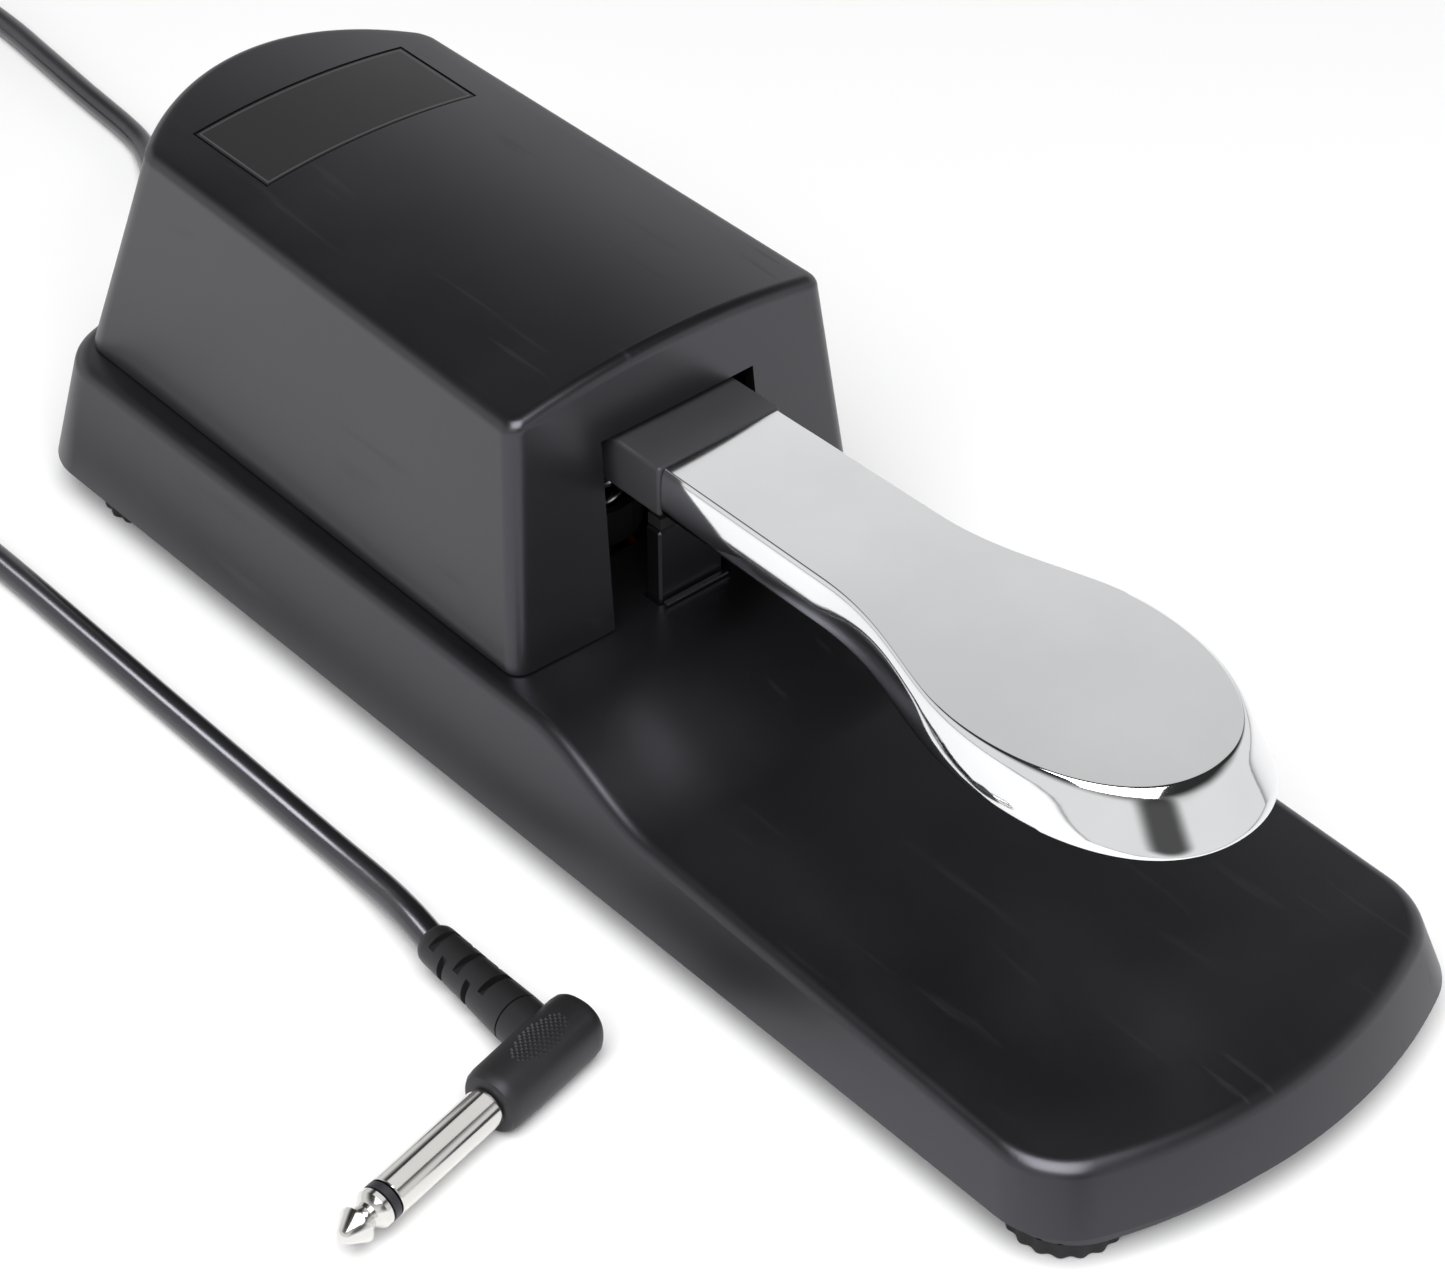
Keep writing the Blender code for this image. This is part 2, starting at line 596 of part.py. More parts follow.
def foot_plate_outline(heel_inset, toe_inset):
    """Whole outline, heel to toe and back, pulled in along its normals by more or less towards the toe."""
    right = [Vector(p) for p in foot_plate_half()]
    start, run = TOE_BLEND
    moved = []
    for i, point in enumerate(right):
        ahead = right[min(i + 1, len(right) - 1)] - right[max(i - 1, 0)]
        if i == len(right) - 1:
            ahead = Vector((-1.0, 0.0))
        inward = Vector((ahead.y, -ahead.x)).normalized()
        share = min(1.0, max(0.0, (start - point.y) / run)) ** 1.5
        moved.append(point + (heel_inset + (toe_inset - heel_inset) * share) * inward)
    return [(p.x, p.y) for p in moved] + [(-p.x, p.y) for p in reversed(moved[:-1])]


def make_foot_plate():
    heel_y = ARM_FRONT_Y - GAP
    rings = []
    for z, heel_inset, toe_inset in FOOT_PLATE_LEVELS_MM:
        ring = [(x, y, z * MM) for x, y in foot_plate_outline(heel_inset * MM, toe_inset * MM)]
        ring[0] = (ring[0][0], heel_y, z * MM)
        ring[-1] = (ring[-1][0], heel_y, z * MM)
        rings.append(ring)
    plate = loft("foot_plate", rings, "chrome")
    plate.location = (0, PIVOT_Y, PIVOT_Z)
    plate.data.transform(Matrix.Translation((0, -PIVOT_Y, -PIVOT_Z)))
    shade_round(plate, 40)
    cut(plate, slab("foot_plate_hollow", foot_plate_outline(3.4 * MM, 5.6 * MM), 40 * MM, 57.0 * MM))
    cut(plate, box("foot_plate_mouth", (-7 * MM, -12 * MM, 40 * MM), (7 * MM, 5 * MM, 57.0 * MM)))
    for label, y in (("rear", -24 * MM), ("front", -58 * MM)):
        cut(plate, screw_hole("blind_hole_" + label, 0, y, 50 * MM, 58.8 * MM))
        pan_screw("foot_plate_screw_" + label, 51.9 * MM, 58.4 * MM, 2.9 * MM, 0, y)


def make_pivot():
    outline = [(81 * MM, 5.3 * MM), (101 * MM, 5.3 * MM), (101 * MM, 54 * MM), (97 * MM, 58 * MM),
               (85 * MM, 58 * MM), (81 * MM, 54 * MM)]
    bracket = side_slab("pivot_bracket", outline, -15.4 * MM, 15.4 * MM, "zinc_steel")
    cut(bracket, box("bracket_gap", (-13.8 * MM, 60 * MM, 6.9 * MM), (13.8 * MM, 120 * MM, 80 * MM)))
    cut(bracket, rod("bracket_bore", (-30 * MM, PIVOT_Y, PIVOT_Z), (30 * MM, PIVOT_Y, PIVOT_Z), 2.75 * MM))
    for side, x in (("left", -8 * MM), ("right", 8 * MM)):
        cut(bracket, screw_hole("bracket_hole_" + side, x, PIVOT_Y, 0, 12 * MM))
        rivet = [(0, 9.0 * MM), (2.6 * MM, 8.4 * MM), (2.6 * MM, 7.2 * MM), (1.4 * MM, 7.2 * MM),
                 (1.4 * MM, 5.4 * MM), (0, 5.4 * MM)]
        turned("bracket_rivet_" + side, rivet, "zinc_steel", (x, PIVOT_Y, 0), steps=14)
    end = 18.4 * MM
    groove = (15.7 * MM, 16.9 * MM)
    profile = [(0, end), (SHAFT_RADIUS, end), (SHAFT_RADIUS, groove[1]), (1.6 * MM, groove[1]),
               (1.6 * MM, groove[0]), (SHAFT_RADIUS, groove[0])]
    profile += [(r, -z) for r, z in reversed(profile)]
    turned("pivot_shaft", profile, "zinc_steel", (0, PIVOT_Y, PIVOT_Z), (1, 0, 0))
    for side, sign in (("left", -1), ("right", 1)):
        x = sign * 16.3 * MM
        clip = rod("shaft_clip_" + side, (x - 0.3 * MM, PIVOT_Y, PIVOT_Z), (x + 0.3 * MM, PIVOT_Y, PIVOT_Z),
                   4.4 * MM, "spring_steel")
        bore_ends = [(x + reach, PIVOT_Y, PIVOT_Z) for reach in (-MM, MM)]
        cut(clip, rod("clip_bore_" + side, *bore_ends, 1.95 * MM))
        cut(clip, box("clip_mouth_" + side, (x - MM, PIVOT_Y - 1.7 * MM, PIVOT_Z - 8 * MM),
                      (x + MM, PIVOT_Y + 1.7 * MM, PIVOT_Z)))
        bush = [(2.75 * MM, 13.5 * MM), (5.2 * MM, 13.5 * MM), (5.2 * MM, 12.5 * MM), (3.85 * MM, 12.5 * MM),
                (3.85 * MM, 9.9 * MM), (2.75 * MM, 9.9 * MM)]
        turned("bush_" + side, bush, "nylon", (0, PIVOT_Y, PIVOT_Z), (sign, 0, 0))


def make_spring_and_stops():
    spring_y = 26 * MM
    seat = [(0, 28.9 * MM), (8.0 * MM, 28.9 * MM), (8.0 * MM, 33 * MM), (9.6 * MM, 33 * MM),
            (9.6 * MM, 26.6 * MM), (5.5 * MM, 23 * MM), (5.5 * MM, 8 * MM), (11 * MM, 6.8 * MM),
            (11 * MM, 5.3 * MM), (0, 5.3 * MM)]
    turned("spring_seat", seat, "nylon", (0, spring_y, 0))
    wire, radius, turns, per_turn = 0.8 * MM, 6.4 * MM, 7, 12
    low, high = 29.2 * MM + wire, ARM_TOP_Z - ARM_SHEET - GAP - wire
    points = []
    for i in range(turns * per_turn + 1):
        share = i / (turns * per_turn)
        angle = 2 * pi * i / per_turn
        points.append((radius * cos(angle), spring_y + radius * sin(angle), low + (high - low) * share))
    tube("return_spring", points, wire, "spring_steel", 1)
    post = box("stop_post", (-6.4 * MM, -0.6 * MM, 5.3 * MM), (6.4 * MM, 2.8 * MM, 41 * MM), "base_abs")
    soften(post, 0.4 * MM, 1)
    box("lower_stop_pad", (-6.0 * MM, -0.4 * MM, 41.3 * MM), (6.0 * MM, 2.6 * MM, 43.3 * MM), "rubber")
    box("stop_clip", (-6.3 * MM, -2.0 * MM, LEDGE_Z + GAP), (6.3 * MM, -1.2 * MM, LEDGE_Z + 0.8 * MM),
        "spring_steel")


def make_switch():
    """Leaf-operated snap switch under the arm, on a bent steel bracket."""
    low, high = (-3.2 * MM, 49 * MM, 42.6 * MM), (3.2 * MM, 69 * MM, 53.0 * MM)
    body = box("switch_body", low, high, "switch_plastic")
    for y in (52 * MM, 64 * MM):
        join(body, box("terminal_" + str(round(y / MM)), (-0.4 * MM, y - 1.2 * MM, 38.5 * MM),
                       (0.4 * MM, y + 1.2 * MM, 43.5 * MM)))
    for sign in (-1, 1):
        low_x, high_x = sorted((sign * 2.3 * MM, sign * 3.2 * MM))
        ear = box("leaf_ear_" + str(sign), (low_x, 65.4 * MM, 52 * MM), (high_x, 68.6 * MM, 55.3 * MM))
        join(body, ear)
    cut(body, box("plunger_well", (-1.3 * MM, 61.5 * MM, 50.2 * MM), (1.3 * MM, 64.5 * MM, 60 * MM)))
    bracket = box("switch_bracket", (-24 * MM, 47.5 * MM, 5.3 * MM), (-3.5 * MM, 70.5 * MM, 53 * MM),
                  "zinc_steel")
    cut(bracket, box("bracket_room", (-40 * MM, 40 * MM, 6.9 * MM), (-5.1 * MM, 80 * MM, 80 * MM)))
    for label, y in (("front", 52.5 * MM), ("rear", 66 * MM)):
        z = 47 * MM
        for owner in (body, bracket):
            cut(owner, rod(owner.name + "_bore_" + label, (-30 * MM, y, z), (30 * MM, y, z), 1.45 * MM,
                           segments=14))
        profile = [(0, 5.2 * MM), (1.8 * MM, 5.0 * MM), (2.4 * MM, 4.2 * MM), (2.4 * MM, 3.5 * MM),
                   (1.1 * MM, 3.5 * MM), (1.1 * MM, -6.6 * MM), (0, -6.6 * MM)]
        turned("switch_screw_" + label, profile, "zinc_steel", (0, y, z), (1, 0, 0), steps=14)
    box("switch_plunger", (-1.0 * MM, 61.8 * MM, 51.4 * MM), (1.0 * MM, 64.2 * MM, 54.75 * MM), "nylon")
    make_leaf()


def make_leaf():
    """Spring-steel leaf with a rolled end that sits between the switch's ears."""
    run = LEAF_TIP - LEAF_HINGE
    slope = Vector((0, -run.z, run.y)).normalized() * 0.2 * MM
    corners = [LEAF_HINGE - slope, LEAF_TIP - slope, LEAF_TIP + slope, LEAF_HINGE + slope]
    leaf = side_slab("switch_leaf", [(c.y, c.z) for c in corners], -1.8 * MM, 1.8 * MM, "spring_steel")
    roll = rod("leaf_roll", LEAF_HINGE - Vector((1.9 * MM, 0, 0)), LEAF_HINGE + Vector((1.9 * MM, 0, 0)),
               0.7 * MM, segments=12)
    join(leaf, roll)
    leaf.location = LEAF_HINGE
    leaf.data.transform(Matrix.Translation(-LEAF_HINGE))


def make_polarity_switch():
    """Slide switch behind a window in the bottom plate."""
    body = box("polarity_switch", (-4.2 * MM, -58 * MM, 5.3 * MM), (4.2 * MM, -42 * MM, 11 * MM),
               "switch_plastic")
    cut(body, box("slider_well", (-2.0 * MM, -53.6 * MM, 0), (2.0 * MM, -46.4 * MM, 8.6 * MM)))
    low, high = (-1.6 * MM, -53.2 * MM, 3.9 * MM), (1.6 * MM, -49.6 * MM, 8.2 * MM)
    box("polarity_slider", low, high, "slider_plastic")


def make_inner_wiring():
    """Cord tail and wires inside the base, with the clip that holds the cord."""
    tail = [(12, 123.3, 13), (11.8, 119.6, 12.4), (10.9, 114.5, 11), (9.6, 109.6, 9.8), (4.8, 105.6, 8.8),
            (-6, 104.8, 8.4), (-15, 104.6, 8.4)]
    tube("cord_tail", smooth_route([Vector(p) * MM for p in tail], 5 * MM), 2.0 * MM, "cord_pvc", 1)
    saddle = side_slab("cord_clamp", [(110 * MM, 5.3 * MM), (116 * MM, 5.3 * MM), (116 * MM, 16.5 * MM),
                                      (110 * MM, 16.5 * MM)], 4.5 * MM, 16 * MM, "nylon")
    cut(saddle, box("clamp_room", (6.6 * MM, 100 * MM, 7 * MM), (14.6 * MM, 120 * MM, 14.6 * MM)))
    wires = {
        "wire_to_switch": [(-16, 104.2, 8.4), (-21, 98, 9), (-22, 86, 8.6), (-20, 76, 12), (-12, 74, 24),
                           (-2, 73, 34), (0, 69, 37.2), (0, 64, 37.6)],
        "wire_to_polarity": [(0, 52, 37.6), (2, 46, 34), (10, 42, 22), (16, 38, 10), (16, 20, 7),
                             (15, -10, 6.6), (12, -30, 6.6), (7, -40, 7), (5.4, -48, 8)],
    }
    for name, look in (("wire_to_switch", "cord_pvc"), ("wire_to_polarity", "wire_red")):
        tube(name, smooth_route([Vector(p) * MM for p in wires[name]], 6 * MM), 0.6 * MM, look, 1)


def make_gland():
    """Tapered boot where the cord leaves the base."""
    length = GLAND_LENGTH
    profile = [
        (0, length), (2.9 * MM, length), (3.1 * MM, length - 1.2 * MM), (4.4 * MM, 3 * MM),
        (5.4 * MM, 2.2 * MM),
        (5.4 * MM, -0.6 * MM), (3.3 * MM, -0.6 * MM), (3.3 * MM, -5.6 * MM), (0, -5.6 * MM),
    ]
    turned("cord_gland", profile, "cord_pvc", GLAND_FACE, (0, 1, 0), steps=20)


def make_cord():
    for name, route in (("cord_rear", REAR_ROUTE_MM), ("cord_plug_end", PLUG_ROUTE_MM)):
        tube(name, smooth_route([Vector(p) * MM for p in route], 8 * MM), CORD_RADIUS, "cord_pvc", 2)
    half, corner = COIL_WIDTH / 2, 4.5 * MM
    profile = []
    for sign_r, sign_z, start in ((1, 1, 90), (1, -1, 0), (-1, -1, -90), (-1, 1, -180)):
        for i in range(4):
            a = radians(start - 30 * i)
            profile.append((
                COIL_RADIUS + sign_r * (half - corner) + corner * cos(a),
                COIL_HEIGHT / 2 + sign_z * (COIL_HEIGHT / 2 - corner) + corner * sin(a) + 0.05 * MM,
            ))
    turned("cord_coil", profile, "cord_pvc", COIL_CENTRE, steps=28)


def plug_point(along, aside, up=0.0):
    """A point on the plug, along its shaft and aside from it, from the corner of the L."""
    direction = Vector((cos(PLUG_HEADING), sin(PLUG_HEADING), 0))
    side = Vector((direction.y, -direction.x, 0))
    return PLUG_CORNER + direction * along * MM + side * aside * MM + Vector((0, 0, up * MM))


def make_plug():
    """Right-angle moulding with a nickel sleeve, an insulating ring and a tip."""
    outline = []
    low, high, half, corner = -7.0, 14.0, 5.1, 2.6
    for cx, cy, start in ((high - 1.2, half - 1.2, 0), (low + corner, half - corner, 90),
                          (low + corner, corner - half, 180), (high - 1.2, 1.2 - half, 270)):
        reach = 1.2 if cx > 0 else corner
        for i in range(4):
            a = radians(start + 30 * i)
            p = plug_point(cx + reach * cos(a), -(cy + reach * sin(a)))
            outline.append((p.x, p.y))
    body = slab("plug_body", outline, 0.1 * MM, 10.7 * MM, "plug_moulding")
    soften(body, 2.2 * MM, 2, 60)
    out = Vector((cos(RELIEF_HEADING), sin(RELIEF_HEADING), 0))
    join(body, rod("plug_neck", PLUG_CORNER + out * 2 * MM, PLUG_CORNER + out * NECK_REACH, 4.1 * MM))
    axis = plug_point(1, 0) - plug_point(0, 0)
    z0 = 14.3 * MM
    sleeve = [(0, z0 + 21.4 * MM), (SLEEVE_RADIUS, z0 + 21.4 * MM), (SLEEVE_RADIUS, z0), (0, z0)]
    ring = [(0, z0 + 23.0 * MM), (3.1 * MM, z0 + 23.0 * MM), (3.1 * MM, z0 + 21.7 * MM), (0, z0 + 21.7 * MM)]
    tip = [(0, 31.0), (1.1, 30.6), (2.95, 27.6), (2.6, 26.9), (1.95, 25.9), (2.2, 25.2), (3.05, 24.4),
           (3.1, 23.3), (0, 23.3)]
    turned("plug_sleeve", sleeve, "nickel", PLUG_CORNER, axis)
    turned("plug_insulator", ring, "switch_plastic", PLUG_CORNER, axis)
    turned("plug_tip", [(r * MM, z0 + z * MM) for r, z in tip], "nickel", PLUG_CORNER, axis)
    length = RELIEF_REACH - NECK_REACH - GAP
    relief = [
        (0, length), (3.1 * MM, length), (3.3 * MM, length - MM), (3.8 * MM, 4 * MM), (4.1 * MM, 0), (0, 0),
    ]
    turned("plug_relief", relief, "plug_moulding", PLUG_CORNER + out * (NECK_REACH + GAP), out, steps=20)


clear_scene()
PARTS = new_collection("sustain_pedal")
CUTTERS = new_collection("cutters")
looks()
make_base()
make_bottom_plate()
make_feet()
make_housing()
label_slab("label_plate", 0.4 * MM, -0.1 * MM, GAP - LABEL["depth"], "label_film")
make_lever()
make_foot_plate()
make_pivot()
make_spring_and_stops()
make_switch()
make_polarity_switch()
make_inner_wiring()
make_gland()
make_cord()
make_plug()
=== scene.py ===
"""Visual model of the sustain pedal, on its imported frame. Metres, toe at -Y, cord at +Y, Z up."""
import bpy
import bmesh
import json
from math import atan2, cos, hypot, pi, radians, sin, sqrt
from mathutils import Matrix, Vector
from mathutils.geometry import interpolate_bezier


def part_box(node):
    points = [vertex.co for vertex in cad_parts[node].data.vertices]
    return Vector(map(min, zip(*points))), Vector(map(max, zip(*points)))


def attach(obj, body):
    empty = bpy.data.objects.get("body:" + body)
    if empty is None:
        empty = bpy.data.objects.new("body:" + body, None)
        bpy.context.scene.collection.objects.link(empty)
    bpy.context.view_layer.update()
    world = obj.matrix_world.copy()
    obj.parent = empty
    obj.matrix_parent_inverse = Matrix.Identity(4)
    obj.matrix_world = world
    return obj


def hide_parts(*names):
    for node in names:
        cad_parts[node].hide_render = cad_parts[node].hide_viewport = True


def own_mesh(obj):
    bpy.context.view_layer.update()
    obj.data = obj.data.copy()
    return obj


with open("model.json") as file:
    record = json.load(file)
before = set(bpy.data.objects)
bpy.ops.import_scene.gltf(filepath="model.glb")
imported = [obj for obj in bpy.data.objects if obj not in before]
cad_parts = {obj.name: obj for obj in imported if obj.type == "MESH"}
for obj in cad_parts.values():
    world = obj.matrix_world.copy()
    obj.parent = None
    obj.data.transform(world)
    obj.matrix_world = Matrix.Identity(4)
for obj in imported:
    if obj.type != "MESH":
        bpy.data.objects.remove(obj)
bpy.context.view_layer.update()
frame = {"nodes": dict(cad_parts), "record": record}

MM = 0.001
CAMERA_SENSOR = 36.0
CAMERA_LENS = 92.2
CAMERA_ANGLES = (-41.08, 39.03, 0.17)
CAMERA_PLACE = (-0.2954, -0.3467, 0.3850)
GAP = 0.3 * MM
BASE_HALF_LENGTH = 130.8 * MM
BASE_HALF_WIDTH = 40.5 * MM
BASE_DRAFT = 2.7 * MM
BASE_UNDERSIDE = 3.2 * MM
BASE_WALL = 2.4 * MM
BASE_END_RADIUS = 92.0 * MM
BASE_CORNER = 12.0 * MM
RIM = {"half_length": 132.4 * MM, "half_width": 42.9 * MM, "end_radius": 90.0 * MM, "corner": 13.0 * MM}
RIM_Z = 7.2 * MM
RIM_LEAN = 0.22
TOE_LEAN = 2.0
SKIRT_INSET = 1.0 * MM
LEDGE_Z = 27.3 * MM
PLATFORM_Z = 20.5 * MM
PLATFORM_TOE_Z = 16.7 * MM
STEP_START_Y = -8.0 * MM
STEP_END_Y = -38.0 * MM
HOUSING_WALL = 2.2 * MM
HOUSING_FOOT = {"half_width": 35.3 * MM, "front": -1.3 * MM, "rear": 125.6 * MM, "rear_bow": 1 / (93.0 * MM)}
HOUSING_HEAD = {"half_width": 30.8 * MM, "front": 3.0 * MM, "rear": 113.4 * MM, "rear_bow": 1 / (43.2 * MM)}
HOUSING_HEAD_Z = 70.0 * MM
HOUSING_TAPER = 0.055
ROOF_SIDE_Z = 69.7 * MM
ROOF_CROWN = 3.3 * MM
ROOF_RISE = 0.019
SLOT_HALF_WIDTH = 15.1 * MM
SLOT_TOP_Z = 61.0 * MM
SPRING_Y = 26.0 * MM
SPRING_FOOT_Z = 29.2 * MM
LABEL = {"half_width": 21.1 * MM, "front": 77.2 * MM, "rear": 97.6 * MM, "depth": 0.7 * MM}
ARM_HALF_WIDTH = 12.2 * MM
ARM_TOP_Z = 59.8 * MM
ARM_BOTTOM_Z = 50.8 * MM
ARM_SHEET = 2.0 * MM
ARM_FRONT_Y = -7.6 * MM
PIVOT_Y = 91.0 * MM
PIVOT_Z = 51.0 * MM
TOE_Y = -114.3 * MM
TOE_WIDEST_Y = -85.0 * MM
TOE_HALF_WIDTH = 21.1 * MM
WAIST_Y = -42.0 * MM
WAIST_HALF_WIDTH = 12.5 * MM
TOE_BLEND = (-70.0 * MM, 44.0 * MM)
SCREW_HOLE = 1.8 * MM
HOUSING_SCREWS = ((28.7 * MM, 8.0 * MM), (27.2 * MM, 108.0 * MM))
BOSS_RADIUS = 4.4 * MM
PLATE_SCREW_YS = (-24 * MM, -58 * MM)
FOOT_RADIUS = 9.0 * MM
FOOT_DIP = 0.5 * MM
FOOT_SCALLOPS = 18
FOOT_STEPS = 216
CORD_RADIUS = 2.4 * MM
COIL_CENTRE = Vector((-30.0 * MM, 276.0 * MM, 0.0))
PLUG_CORNER = Vector((-67.2 * MM, -47.0 * MM, 5.4 * MM))
PLUG_HEADING = radians(192.0)
RELIEF_HEADING = radians(88.0)
NECK_REACH = 7.6 * MM
RELIEF_REACH = 28.5 * MM
BODY_WIDE = 4.9
BODY_TALL = 5.25
BODY_POWER = 0.85
SHEEN_TINT = (0.90, 0.89, 1.0, 1.0)
TENT_WALLS = 0.85
TENT_TOP = 0.03
TENT_FADE = (0.36, 0.68)
TENT_OPENING = (-0.36, -0.85, 0.38)
OVERHEAD_RADIANCE = 7.0
STRIP_RADIANCE = 14.0
PLATE_CARD_RADIANCE = 0.62
SLEEVE_CARD_RADIANCE = 0.9
GLAND_FACE = Vector((12.0 * MM, 129.3 * MM, 13.0 * MM))


# ---- camera -----------------------------------------------------------------------------------
def make_camera():
    data = bpy.data.cameras.new("view")
    data.sensor_width = CAMERA_SENSOR
    data.lens = CAMERA_LENS
    data.clip_start = 0.01
    camera = bpy.data.objects.new("view", data)
    bpy.context.scene.collection.objects.link(camera)
    turn, rise, roll = (radians(angle) for angle in CAMERA_ANGLES)
    back = Vector((sin(turn) * cos(rise), -cos(turn) * cos(rise), sin(rise)))
    right = Vector((cos(turn), sin(turn), 0.0))
    up = back.cross(right)
    rolled_right = right * cos(roll) - up * sin(roll)
    rolled_up = right * sin(roll) + up * cos(roll)
    camera.matrix_world = Matrix((
        (rolled_right.x, rolled_up.x, back.x, CAMERA_PLACE[0]),
        (rolled_right.y, rolled_up.y, back.y, CAMERA_PLACE[1]),
        (rolled_right.z, rolled_up.z, back.z, CAMERA_PLACE[2]),
        (0.0, 0.0, 0.0, 1.0),
    ))
    bpy.context.scene.camera = camera


make_camera()


# ---- materials --------------------------------------------------------------------------------
class Nodes:
    """A small builder for one material's node tree."""

    def __init__(self, name):
        self.made = bpy.data.materials.new(name)
        self.made.use_nodes = True
        self.tree = self.made.node_tree
        self.shader = self.tree.nodes["Principled BSDF"]
        self.place = self.add("ShaderNodeTexCoord").outputs["Object"]

    def add(self, kind, **values):
        node = self.tree.nodes.new(kind)
        for key, value in values.items():
            setattr(node, key, value)
        return node

    def link(self, source, target):
        self.tree.links.new(source, target)

    def stretched(self, scale):
        mapping = self.add("ShaderNodeMapping")
        mapping.inputs["Scale"].default_value = scale
        self.link(self.place, mapping.inputs["Vector"])
        return mapping.outputs["Vector"]

    def noise(self, scale, detail=4.0, rough=0.55, source=None):
        node = self.add("ShaderNodeTexNoise")
        node.inputs["Scale"].default_value = scale
        node.inputs["Detail"].default_value = detail
        node.inputs["Roughness"].default_value = rough
        self.link(source or self.place, node.inputs["Vector"])
        return node.outputs["Fac"]

    def span(self, source, low, high, new_low, new_high):
        node = self.add("ShaderNodeMapRange")
        for key, value in (("From Min", low), ("From Max", high), ("To Min", new_low), ("To Max", new_high)):
            node.inputs[key].default_value = value
        self.link(source, node.inputs["Value"])
        return node.outputs["Result"]

    def math(self, operation, a, b):
        node = self.add("ShaderNodeMath", operation=operation)
        for socket, value in zip(node.inputs, (a, b)):
            if isinstance(value, (int, float)):
                socket.default_value = value
            else:
                self.link(value, socket)
        return node.outputs[0]

    def tint(self, factor, low, high):
        node = self.add("ShaderNodeMix", data_type="RGBA")
        node.inputs["A"].default_value = (*low, 1.0)
        node.inputs["B"].default_value = (*high, 1.0)
        self.link(factor, node.inputs["Factor"])
        self.link(node.outputs["Result"], self.shader.inputs["Base Color"])
        return node

    def bump(self, height, strength, distance):
        node = self.add("ShaderNodeBump")
        node.inputs["Strength"].default_value = strength
        node.inputs["Distance"].default_value = distance
        self.link(height, node.inputs["Height"])
        self.link(node.outputs["Normal"], self.shader.inputs["Normal"])


def scuffs(n, amount):
    """Sparse fine scratches, as a small addition to the roughness."""
    lines = n.noise(60.0, 2.0, 0.4, n.stretched((9.0, 0.6, 4.0)))
    return n.span(lines, 0.66, 0.74, 0.0, amount)


def plastic(name, colour, rough, grain=0.10, grain_scale=2600.0, specular=0.5, wear=0.08):
    n = Nodes(name)
    cloud = n.noise(22.0, 5.0)
    fine = n.noise(grain_scale, 2.0)
    light = tuple(min(1.0, c * 1.5 + 0.002) for c in colour)
    n.tint(n.span(cloud, 0.3, 0.7, 0.0, 1.0), colour, light)
    base = n.span(cloud, 0.3, 0.7, rough - 0.03, rough + 0.04)
    n.link(n.math("ADD", base, scuffs(n, wear)), n.shader.inputs["Roughness"])
    n.shader.inputs["Specular IOR Level"].default_value = specular
    n.shader.inputs["Specular Tint"].default_value = SHEEN_TINT
    n.bump(fine, grain, 0.00006)
    return n.made


def metal(name, colour, rough, brush=0.0, smudge=0.04):
    n = Nodes(name)
    cloud = n.noise(35.0, 4.0)
    lines = n.noise(900.0, 3.0, 0.5, n.stretched((1.0, 0.04, 1.0)))
    dark = tuple(c * 0.94 for c in colour)
    n.tint(n.span(cloud, 0.35, 0.65, 0.0, 1.0), dark, colour)
    n.shader.inputs["Metallic"].default_value = 1.0
    base = n.span(cloud, 0.35, 0.7, rough, rough + smudge)
    n.link(n.math("ADD", base, scuffs(n, smudge * 0.8)), n.shader.inputs["Roughness"])
    n.bump(lines, 0.02 + brush, 0.00002)
    return n.made


def label_film(name):
    """Matt film with a thin printed frame line and nothing written on it."""
    n = Nodes(name)
    axes = n.add("ShaderNodeSeparateXYZ")
    n.link(n.place, axes.inputs["Vector"])
    middle = (LABEL["front"] + LABEL["rear"]) / 2
    reach = (LABEL["rear"] - LABEL["front"]) / 2
    across = n.math("SUBTRACT", LABEL["half_width"], n.math("ABSOLUTE", axes.outputs["X"], 0.0))
    along = n.math("ABSOLUTE", n.math("SUBTRACT", axes.outputs["Y"], middle), 0.0)
    inside = n.math("MINIMUM", across, n.math("SUBTRACT", reach, along))
    band = n.math("ABSOLUTE", n.math("SUBTRACT", inside, 0.9 * MM), 0.0)
    line = n.span(band, 0.08 * MM, 0.16 * MM, 1.0, 0.0)
    n.tint(line, (0.010, 0.010, 0.011), (0.06, 0.06, 0.065))
    cloud = n.noise(30.0, 4.0)
    n.link(n.span(cloud, 0.3, 0.7, 0.42, 0.5), n.shader.inputs["Roughness"])
    n.bump(n.noise(2200.0, 2.0), 0.1, 0.00004)
    return n.made


